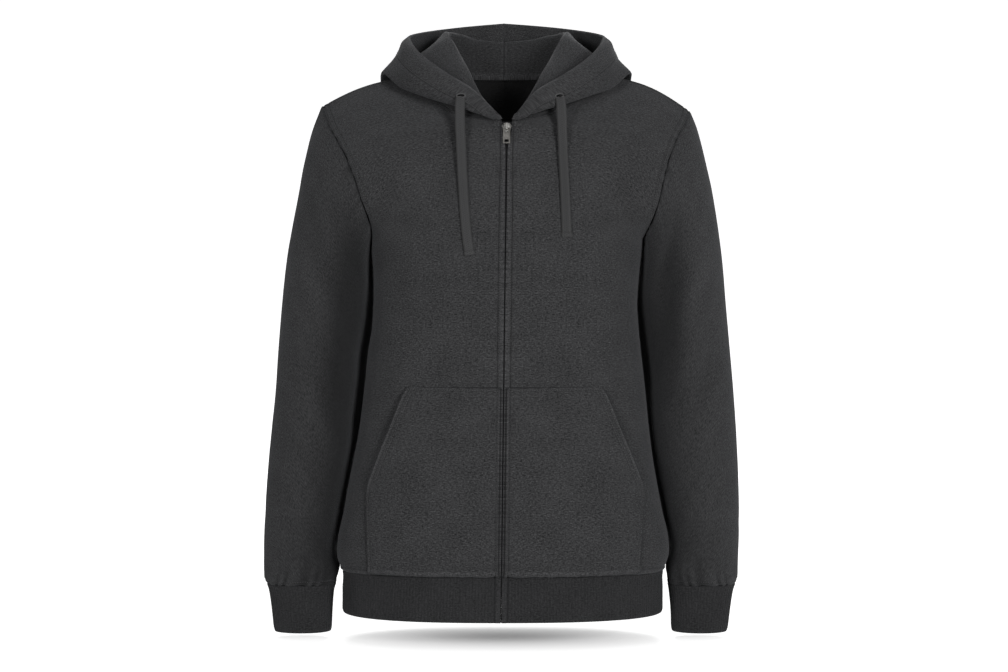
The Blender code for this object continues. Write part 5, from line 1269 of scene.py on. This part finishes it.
rib = heather_material("charcoal rib", RIB_DARK, RIB_LIGHT, 0.25, 0.0003, 0.08)
heights = through((0, 0.5, 1), ((HEM_SEAM_MIDDLE - SEAM_GAP, HEM_SEAM_SIDE - SEAM_GAP),
                                (HEM_HALFWAY, HEM_HALFWAY), (HEM_BOTTOM, HEM_BOTTOM)), BAND_ROWS)
hem_girth = lengths(hem_line(HEM_HALFWAY, HEM_HALFWAY))[-1]
hem_columns = round(hem_girth / RIB_PITCH) * RIB_SPLIT + 1
rings = np.array([even_columns(hem_line(middle, low), hem_columns) for middle, low in heights])
hem = ribbed_band("hem_rib", rings, False, -1)
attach(hem, "garment")
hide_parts("hem_band")

for side, name in ((-1, "left"), (1, "right")):
    column = 1 if side < 0 else 3
    table = through(np.linspace(0, 1, 4), CUFF_ROWS, BAND_ROWS)
    table[0, 0] -= SEAM_GAP
    ring = [oval(np.array((side * row[column], 0.0, row[0])), np.array((side * row[column + 1], 0.0, row[0])),
                 row[5], row[6]) for row in table]
    girth = lengths(np.concatenate([ring[7], ring[7][:1]]))[-1]
    columns = round(girth / RIB_PITCH) * RIB_SPLIT
    rings = np.array([even_columns(np.concatenate([line, line[:1]]), columns, closed=True) for line in ring])
    cuff = ribbed_band("cuff_" + name + "_rib", rings, True, -side)
    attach(cuff, "garment")
    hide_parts("cuff_" + name)


# ---- pockets ------------------------------------------------------------------------------------
# Two halves of a kangaroo pocket, one layer of the fleece, are sewn onto the fronts along the zip, the
# top and the sides and caught in the hem seam. The slanted mouths are turned in and stand a little off.

POCKET_OUTLINE = {
    # the hem, the foot of the slanted mouth and its top corner: distance across and height
    -1: np.array(((0.1630, -0.6145), (0.1661, -0.5225), (0.1152, -0.3885))),
    1: np.array(((0.1623, -0.6145), (0.1695, -0.5225), (0.1170, -0.3885))),
}
POCKET_TOP = 8                 # the panel's row at the pocket's top edge
POCKET_ZIP_EDGE = 0.0030       # from the zip line to the pocket's edge
POCKET_SPACE = 0.0013          # space behind the pocket away from its seams
POCKET_SEWN = 0.00035          # and at its seams
POCKET_MOUTH = 0.0036          # how much further its mouth stands off
POCKET_STEPS = 50
POCKET_ROWS = 52
POCKET_STITCH = 0.0044
POCKET_EDGE_HIGHLIGHT = 0.62       # a painted highlight on top of its folded edge
POCKET_EDGE_SHADE = 0.95        # and painted shade where it turns under
POCKET_INSIDE_SHADE = 0.80      # painted shade: how much darker its brushed side is
MOUTH_STITCHES = (0.0050, 0.0115)
POCKET_FOLDS = {
    -1: ((-0.140, -0.470, -0.100, -0.520, 0.018, -0.0016), (-0.060, -0.420, -0.075, -0.540, 0.022, 0.0010),
         (-0.150, -0.560, -0.120, -0.606, 0.014, 0.0012), (-0.030, -0.560, -0.034, -0.610, 0.010, 0.0007)),
    1: ((0.142, -0.474, 0.104, -0.530, 0.018, -0.0016), (0.070, -0.420, 0.060, -0.530, 0.022, 0.0010),
        (0.148, -0.556, 0.124, -0.606, 0.014, 0.0012), (0.036, -0.556, 0.036, -0.610, 0.010, 0.0007)),
}


def pocket_sheet(side):
    """The pocket's inner side: points of the front's surface, lifted. Rows run up from the hem seam, and
    columns from the zip's side to the outer edge, both close together near their ends."""
    sheet, outward = surface[side, -1]
    height = sheet[rise <= POCKET_TOP].mean(axis=1)[:, 2]
    outline = POCKET_OUTLINE[side]
    places = spread(np.array((outline[-1, 1] - HEM_SEAM_MIDDLE,)), POCKET_ROWS)[0] + HEM_SEAM_MIDDLE
    at = np.interp(places, height, np.arange(len(height)))
    low = np.minimum(at.astype(int), len(height) - 2)
    part = (at - low)[:, None, None]
    cloth = sheet[low] * (1 - part) + sheet[low + 1] * part
    turn = outward[low] * (1 - part) + outward[low + 1] * part
    edge = np.interp(places, outline[:, 1], outline[:, 0])
    start = side * zip_x(places) + POCKET_ZIP_EDGE
    across = start[:, None] + spread(edge - start, POCKET_STEPS)
    spots = np.array([[np.interp(a, side * row[:, 0], row[:, axis]) for axis in range(3)]
                      for a, row in zip(across, cloth)]).transpose(0, 2, 1)
    turns = np.array([[np.interp(a, side * row[:, 0], way[:, axis]) for axis in range(3)]
                      for a, row, way in zip(across, cloth, turn)]).transpose(0, 2, 1)
    return spots, unit(turns)


def pocket_lift(side, spots):
    """How far the pocket's inner side stands off the front: little at its seams, more in between, and
    most at its slanted mouth."""
    across = lengths(spots, 1)
    beyond = across[:, -1:] - across
    down = lengths(spots, 0)
    below_top = down[-1:] - down
    height = spots[..., 2]
    foot, top = POCKET_OUTLINE[side][1:, 1]
    mouth = np.clip((height - foot) / 0.018, 0, 1) * np.clip((top - height) / 0.022, 0, 1)
    mouth = mouth**2 * (3 - 2 * mouth)
    from_seam = np.minimum(np.minimum(across, below_top), np.where(mouth > 0, beyond + 0.030 * mouth, beyond))
    free = 1 - bell(from_seam, 0.008)
    share = across / across[:, -1:]
    lift = POCKET_SEWN + POCKET_SPACE * free + POCKET_MOUTH * mouth * share**4
    return lift, mouth, across, beyond, down, below_top


pocket_surface = {}
for side, name in ((-1, "left"), (1, "right")):
    spots, turns = pocket_sheet(side)
    lift, mouth, across, beyond, down, below_top = pocket_lift(side, spots)
    spots[0, :, 2] += SEAM_GAP
    groove = GROOVE * (bell(across - POCKET_STITCH, GROOVE_SOFT)
                       + bell(below_top - POCKET_STITCH, GROOVE_SOFT)
                       + bell(beyond - POCKET_STITCH, GROOVE_SOFT) * (1 - mouth)
                       + (bell(beyond - MOUTH_STITCHES[0], GROOVE_SOFT)
                          + bell(beyond - MOUTH_STITCHES[1], GROOVE_SOFT)) * mouth)
    ridge = HEM_RIDGE * bell(down - HEM_RIDGE_RISE, 0.0020)
    relief = (ridge - groove - fold_relief(spots, POCKET_FOLDS[side]) * np.clip(lift / POCKET_SPACE, 0, 1)
              + puckers(across, below_top, 0.021, 0.0005) + puckers(down, across, 0.024, 0.0004)
              - SEAM_DIP * bell(down, SEAM_SOFT))
    relief = np.maximum(relief, 0.0001 - lift)
    outer = spots + turns * (FLEECE + lift + relief)[..., None]
    outward = outward_of(outer, side)
    pocket_surface[side] = (outer, outward, mouth)
    # The pocket's tone: a painted highlight on its folded edges and over the hem seam, painted shade where
    # the edges turn under and in the stitches' grooves, and painted shade over its brushed side.
    from_edge = np.minimum(np.minimum(across, beyond), below_top)
    painted_rim = (POCKET_EDGE_HIGHLIGHT * (0.45 + 0.55 * mouth) * bell(from_edge - 0.0027, 0.0011)
           - POCKET_EDGE_SHADE * bell(from_edge, 0.0014))
    pocket = shell("pocket_" + name + "_cloth", outer, turns, FLEECE, [fleece, brushed],
                   nap_and_shade=np.clip(nap_and_shade_of(0.6 * (ridge - groove)) + painted_rim + hem_highlight(down), -0.9, 0.6),
                   nap_and_shade_inside=-POCKET_INSIDE_SHADE)
    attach(pocket, "garment")
    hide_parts("pocket_" + name)


# ---- stitches -----------------------------------------------------------------------------------
# Lockstitch in polyester thread of the cloth's colour, a shade lighter, holds every folded edge: along
# the zip, the neck, the shoulders, the armholes, the pockets, the hem, the cuffs and the hood's casing.
# The cords' eyelets are buttonhole-stitched rings of the same thread.

STITCH_PITCH = 0.0030
STITCH_LENGTH = 0.0024
STITCH_WIDTH = 0.00062
STITCH_HEIGHT = 0.00040
STITCH_LIFT = 0.00012
THREAD_COLOUR = (0.040, 0.0402, 0.0416, 1.0)


def thread_material():
    """Polyester thread: twisted plies, with a slight gloss."""
    material, tree, shader = new_material("sewing thread")
    place = shader_node(tree, "TexCoord").outputs["Object"]
    speckle = shader_node(tree, "TexNoise", {"Vector": place, "Scale": 1800.0, "Detail": 2.0})
    ramp = shader_node(tree, "MapRange", {"Value": speckle.outputs["Fac"], "To Min": 0.7, "To Max": 1.3})
    colour = shader_node(tree, "VectorMath", {0: THREAD_COLOUR[:3], "Scale": ramp.outputs[0]},
                         operation="SCALE")
    tree.links.new(colour.outputs[0], shader.inputs["Base Color"])
    shader.inputs["Roughness"].default_value = 0.62
    return material


def line_along(grid, outward, edge, distance):
    """The line on a grid at a distance, one for all or one for each row, from one of its edges: "start"
    and "end" are its first and last columns, "bottom" and "top" its first and last rows. Gives its
    points and the ways out."""
    if edge in ("bottom", "top"):
        grid, outward = grid.transpose(1, 0, 2), outward.transpose(1, 0, 2)
    if edge in ("end", "top"):
        grid, outward = grid[:, ::-1], outward[:, ::-1]
    run = lengths(grid, 1)
    distance = np.broadcast_to(distance, len(grid))
    after = np.argmax(run > distance[:, None], axis=1)
    row = np.arange(len(grid))
    share = ((distance - run[row, after - 1]) / (run[row, after] - run[row, after - 1]))[:, None]
    line = grid[row, after - 1] * (1 - share) + grid[row, after] * share
    return line, unit(outward[row, after - 1] * (1 - share) + outward[row, after] * share)


def stitched(line, outward):
    """Points of the stitches along a line: each is a spindle of four rings of four points."""
    run = lengths(line)
    count = int(run[-1] / STITCH_PITCH)
    middle = (np.arange(count) + 0.5) * run[-1] / count
    at = middle[:, None] + np.array((-0.5, -0.3, 0.3, 0.5)) * STITCH_LENGTH
    centre = np.stack([np.interp(at, run, line[:, axis]) for axis in range(3)], axis=-1)
    out = unit(np.stack([np.interp(middle, run, outward[:, axis]) for axis in range(3)], axis=-1))
    along = unit(centre[:, -1] - centre[:, 0])
    beside = np.cross(along, out)
    size = np.array((0.30, 1.0, 1.0, 0.30))
    sink = np.array((-0.7, 0.6, 0.6, -0.7)) * STITCH_HEIGHT
    ring = np.array(((1, 0), (0, 1), (-1, 0), (0, -1))) * (STITCH_WIDTH / 2, STITCH_HEIGHT / 2)
    ring = size[:, None, None] * ring
    points = (centre[:, :, None] + beside[:, None, None] * ring[None, ..., :1]
              + out[:, None, None] * ring[None, ..., 1:]
              + out[:, None, None] * (sink + STITCH_LIFT)[None, :, None, None])
    return points.reshape(-1, 3)


def sewn(name, lines, material):
    """Make one object of all the stitches along several lines, each with its outward directions."""
    points = np.concatenate([stitched(line, outward) for line, outward in lines])
    tube = np.concatenate([grid_quads(4, 4, closed=True), [(3, 2, 1, 0), (12, 13, 14, 15)]])
    count = len(points) // 16
    quads = (np.arange(count)[:, None, None] * 16 + tube).reshape(-1, 4)
    piece = mesh_piece(name, points, quads, [material])
    faced_out(piece)
    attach(piece, "garment")


def part_of(line, first, last):
    """A stretch of a line and its outward directions."""
    return line[0][first:last], line[1][first:last]


thread = thread_material()
lines = []
underarm_row = int(np.searchsorted(rise, UNDERARM))
for side in (-1, 1):
    grid, outward = surface[side, -1]
    start = int(np.searchsorted(rise, NECK_ROW[-1]))
    lines.append(part_of(line_along(grid, outward, "start", flange_distance(grid)), 0, start - 1))
    lines.append(part_of(line_along(grid, outward, "start", NECK_STITCH), start, None))
    for face in (-1, 1):
        grid, outward = surface[side, face]
        for distance in ARMHOLE_STITCHES:
            lines.append(part_of(line_along(grid, outward, "end", distance), underarm_row + 3, None))
        lines.append(line_along(grid, outward, "bottom", HEM_STITCH))
        lines.append(line_along(grid, outward, "top", SHOULDER_STITCH))
    grid, outward = surface[side, 1]
    start = int(np.searchsorted(rise, NECK_ROW[1]))
    lines.append(part_of(line_along(grid, outward, "start", NECK_STITCH), start, None))
    grid, outward = sleeve_surface[side]
    loop, way = line_along(grid, outward, "top", CUFF_STITCH)
    lines.append((np.concatenate([loop, loop[:1]]), np.concatenate([way, way[:1]])))
sewn("body_stitches", lines, thread)

lines = []
for side in (-1, 1):
    grid, outward, mouth = pocket_surface[side]
    foot = int(np.argmax(mouth[:, -1] > 0.3))
    lines.append(line_along(grid, outward, "start", POCKET_STITCH))
    lines.append(line_along(grid, outward, "top", POCKET_STITCH))
    lines.append(part_of(line_along(grid, outward, "end", POCKET_STITCH), 0, foot))
    for distance in MOUTH_STITCHES:
        lines.append(part_of(line_along(grid, outward, "end", distance), foot - 3, None))
sewn("pocket_stitches", lines, thread)

lines = []
for side in (-1, 1):
    grid, outward = hood_surface[side]
    lines.append(line_along(grid, outward, "top", CASING))
    lines.append(line_along(grid, outward, "end", CENTRE_STITCH))
sewn("hood_stitches", lines, thread)

EYELET_HALF = (0.0062, 0.0034)     # across and along the cord
EYELET_CORD = 0.00085              # half the thickness of its ring of thread
EYELET_RISE = 0.0012               # its middle above the cord's first point
EYELET_ROUND = 72                  # steps round the ring, and round its thread
EYELET_SIDES = 10
# The hole's dark colour is painted shade.
EYELET_HOLE_SHADE = (0.0035, 0.0035, 0.0037, 1.0)


def eyelet_points(middle, across, upward, out):
    """A buttonhole-stitched ring: a small circle, swollen by each of its stitches, is carried round an
    oval. Its hole is a shallow dish of shrinking ovals inside it, dark with painted shade."""
    around = np.linspace(0, 2 * math.pi, EYELET_ROUND, endpoint=False)[None, :, None]
    section = np.linspace(0, 2 * math.pi, EYELET_SIDES, endpoint=False)[:, None, None]
    thick = EYELET_CORD * (0.86 + 0.22 * np.abs(np.sin(around * 11)))
    wide = EYELET_HALF[0] - EYELET_CORD + thick * np.cos(section)
    high = EYELET_HALF[1] - EYELET_CORD + thick * np.cos(section)
    ring = (middle + across * wide * np.cos(around) + upward * high * np.sin(around)
            + out * thick * np.sin(section))
    share = np.array((1.0, 0.7, 0.4, 0.02))[:, None, None]
    dish = (middle + across * EYELET_HALF[0] * 0.9 * share * np.cos(around)
            + upward * EYELET_HALF[1] * 0.9 * share * np.sin(around) - out * 0.0004 * (1 - share))
    return ring.reshape(-1, 3), dish.reshape(-1, 3)


hole_shade = heather_material("eyelet hole shade", EYELET_HOLE_SHADE, EYELET_HOLE_SHADE, 0.0, 0.0002, 0.0)
for side, name in ((-1, "left"), (1, "right")):
    outer, outward = hood_surface[side]
    first, second = cord_paths["drawcord_" + name][[0, 6]]
    upward = unit(first - second)
    spot = first + upward * EYELET_RISE
    flat, ways = outer.reshape(-1, 3), outward.reshape(-1, 3)
    away = np.linalg.norm((flat - spot)[:, (0, 2)], axis=1) + (flat[:, 1] > spot[1] + 0.02)
    nearest = np.argsort(away)[:9]
    out = unit(ways[nearest].sum(axis=0))
    middle = spot + np.max((flat[nearest] - spot) @ out) * out + out * 0.0004
    across = unit(np.cross(upward, out))
    ring, dish = eyelet_points(middle, across, unit(np.cross(out, across)), out)
    closed_ring = grid_quads(EYELET_SIDES + 1, EYELET_ROUND, closed=True) % len(ring)
    dish_quads = grid_quads(len(dish) // EYELET_ROUND, EYELET_ROUND, closed=True) + len(ring)
    quads = np.concatenate([closed_ring, dish_quads])
    slots = np.repeat((0, 1), (len(closed_ring), len(dish_quads)))
    eyelet = mesh_piece("eyelet_" + name, np.concatenate([ring, dish]), quads, [thread, hole_shade],
                        slots=slots)
    faced_out(eyelet)
    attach(eyelet, "garment")


# ---- zip ----------------------------------------------------------------------------------------
# A closed-end nickel zip: two woven tapes are sewn under the fronts' folded edges, and the teeth on
# them meet under the slider. The slider's bail holds a pull tab with a window and a hole.

TAPE_HALF = 0.0140             # from the zip line to the tape's far edge
TAPE_DEPTH = 0.0034
TAPE_WALL = 0.0006
TAPE_INNER = 0.00005
TAPE_BEND_HEIGHTS = (HEM_SEAM_SIDE, -0.30, ZIP_TOP_Z)
TAPE_BENDS = (0.00060, 0.00064, 0.00200)     # how far its far edge lies deeper at those heights
TOOTH_PITCH = 0.0021
TOOTH_WIDTH = 0.0040
TOOTH_HEIGHT = 0.0012
TOOTH_DEPTH = 0.0026
SLIDER_HEIGHT = -0.0790
CHAIN_END = 0.0006
SLIDER_EASE = 0.00030
TAB_EASE = 0.00018
TAPE_COLOUR = (0.010, 0.010, 0.011, 1.0)
TOOTH_COLOUR = (0.045, 0.045, 0.047, 1.0)
NICKEL_COLOUR = (0.34, 0.335, 0.32, 1.0)
TAB_COLOUR = (0.17, 0.165, 0.155, 1.0)


def woven_tape_material():
    """Woven polyester tape: a fine herringbone in relief."""
    material, tree, shader = new_material("woven tape")
    place = shader_node(tree, "UVMap", uv_map="cloth").outputs["UV"]
    weave = shader_node(tree, "TexWave", {"Vector": place, "Scale": 260.0, "Distortion": 1.5},
                        bands_direction="DIAGONAL")
    bump = shader_node(tree, "Bump", {"Height": weave.outputs["Fac"], "Strength": 0.5, "Distance": 0.0002})
    tree.links.new(bump.outputs[0], shader.inputs["Normal"])
    shader.inputs["Base Color"].default_value = TAPE_COLOUR
    shader.inputs["Roughness"].default_value = 0.9
    return material


def metal_material(name, colour, roughness):
    """Plated metal, worn a little dull in patches, with faint scratches."""
    material, tree, shader = new_material(name)
    place = shader_node(tree, "TexCoord").outputs["Object"]
    wear = shader_node(tree, "TexNoise", {"Vector": place, "Scale": 420.0, "Detail": 4.0})
    dull = shader_node(tree, "MapRange", {"Value": wear.outputs["Fac"], "From Min": 0.3, "From Max": 0.7,
                                          "To Min": roughness * 0.75, "To Max": roughness * 1.35})
    stretched = shader_node(tree, "Mapping", {"Vector": place, "Scale": (2600.0, 2600.0, 260.0)})
    scratch = shader_node(tree, "TexNoise", {"Vector": stretched.outputs[0], "Scale": 1.0, "Detail": 2.0})
    bump = shader_node(tree, "Bump", {"Height": scratch.outputs["Fac"], "Strength": 0.25,
                                      "Distance": 0.00008})
    tree.links.new(dull.outputs[0], shader.inputs["Roughness"])
    tree.links.new(bump.outputs[0], shader.inputs["Normal"])
    shader.inputs["Base Color"].default_value = colour
    shader.inputs["Metallic"].default_value = 1.0
    return material


def zip_line(height):
    """The zip's path on the cloth's surface and its outward directions, at heights from the hem up."""
    y = -middle_depth(-1, height)
    path = np.stack([zip_x(height), y, height], axis=1)
    along = unit(np.gradient(path, axis=0))
    return path, unit(np.cross((1.0, 0.0, 0.0), along))


def tape_strip(side):
    """A tape under a front's edge: a flat strip that follows the surface at its depth."""
    height = np.linspace(HEM_BOTTOM, ZIP_TOP_Z - 0.0005, 130)
    path, out = zip_line(height)
    across = np.array((TAPE_INNER, 0.004, 0.0075, 0.0108, TAPE_HALF)) * side
    bend = np.interp(height, TAPE_BEND_HEIGHTS, TAPE_BENDS)[:, None] * (across / TAPE_HALF) ** 2
    grid = (path[:, None] + np.array((1.0, 0, 0)) * across[None, :, None]
            - out[:, None] * (TAPE_DEPTH + bend)[..., None])
    return grid, np.broadcast_to(out[:, None], grid.shape)


def teeth_points():
    """The closed chain: each tooth is a small block with its long side across the zip and bevelled ends,
    on one side and the other by turns."""
    run_height = np.linspace(HEM_BOTTOM + 0.001, SLIDER_HEIGHT - CHAIN_END, 400)
    path, out = zip_line(run_height)
    run = lengths(path)
    count = int(run[-1] / TOOTH_PITCH)
    at = (np.arange(2 * count) + 0.5) * TOOTH_PITCH / 2
    place = np.stack([np.interp(at, run, path[:, axis]) for axis in range(3)], axis=1)
    ways = np.stack([np.interp(at, run, out[:, axis]) for axis in range(3)], axis=1)
    along = unit(np.cross(ways, (1.0, 0.0, 0.0)))
    side = np.where(np.arange(2 * count) % 2 == 0, -1.0, 1.0)
    section = np.array(((-0.35, -0.5), (0.35, -0.5), (0.5, 0.0), (0.35, 0.5), (-0.35, 0.5), (-0.5, 0.0)))
    reach = np.array((-0.12, 0.05, 0.38, 0.46)) * TOOTH_WIDTH
    size = np.array((0.55, 1.0, 1.0, 0.6))
    ring = size[:, None, None] * section * (TOOTH_HEIGHT * 0.82, TOOTH_HEIGHT)
    points = (place[:, None, None] + np.array((1.0, 0, 0)) * (reach[None, :] * side[:, None])[..., None, None]
              + along[:, None, None] * ring[None, ..., :1]
              + ways[:, None, None] * (ring[None, ..., 1:] - TOOTH_DEPTH))
    return points.reshape(-1, 3), 2 * count


woven = woven_tape_material()
for side, name in ((-1, "left"), (1, "right")):
    grid, out = tape_strip(side)
    zip_tape = shell("zip_tape_" + name + "_cloth", grid, out, TAPE_WALL, [woven, woven])
    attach(zip_tape, "garment")
    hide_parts("zip_tape_" + name)

points, count = teeth_points()
tube = np.concatenate([grid_quads(4, 6, closed=True),
                       [(3, 2, 1, 0), (5, 4, 3, 0), (18, 19, 20, 21), (21, 22, 23, 18)]])
teeth = mesh_piece("zip_teeth", points, (np.arange(count)[:, None, None] * 24 + tube).reshape(-1, 4),
                   [metal_material("dark teeth", TOOTH_COLOUR, 0.42)])
faced_out(teeth)
teeth.data.shade_flat()
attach(teeth, "garment")
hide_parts("zip_chain")


def eased_copy(node_name, name, radius, material):
    """A copy of a solid with its flat faces joined again and its edges rounded off."""
    part = bmesh.new()
    part.from_mesh(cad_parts[node_name].data)
    bmesh.ops.remove_doubles(part, verts=part.verts, dist=0.000002)
    bmesh.ops.dissolve_limit(part, angle_limit=math.radians(1.5), verts=part.verts, edges=part.edges)
    mesh = bpy.data.meshes.new(name)
    part.to_mesh(mesh)
    part.free()
    mesh.materials.clear()
    mesh.materials.append(material)
    mesh.shade_smooth()
    copy = bpy.data.objects.new(name, mesh)
    bpy.context.scene.collection.objects.link(copy)
    bevel = copy.modifiers.new("eased edges", "BEVEL")
    bevel.width = radius
    bevel.segments = 3
    bevel.angle_limit = math.radians(35)
    bevel.harden_normals = True
    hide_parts(node_name)
    return copy


nickel = metal_material("nickel plate", NICKEL_COLOUR, 0.30)
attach(eased_copy("zip_slider", "slider", SLIDER_EASE, nickel), "garment")
dull_nickel = metal_material("dull nickel plate", TAB_COLOUR, 0.36)
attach(eased_copy("pull_tab", "tab", TAB_EASE, dull_nickel), "pull_tab")
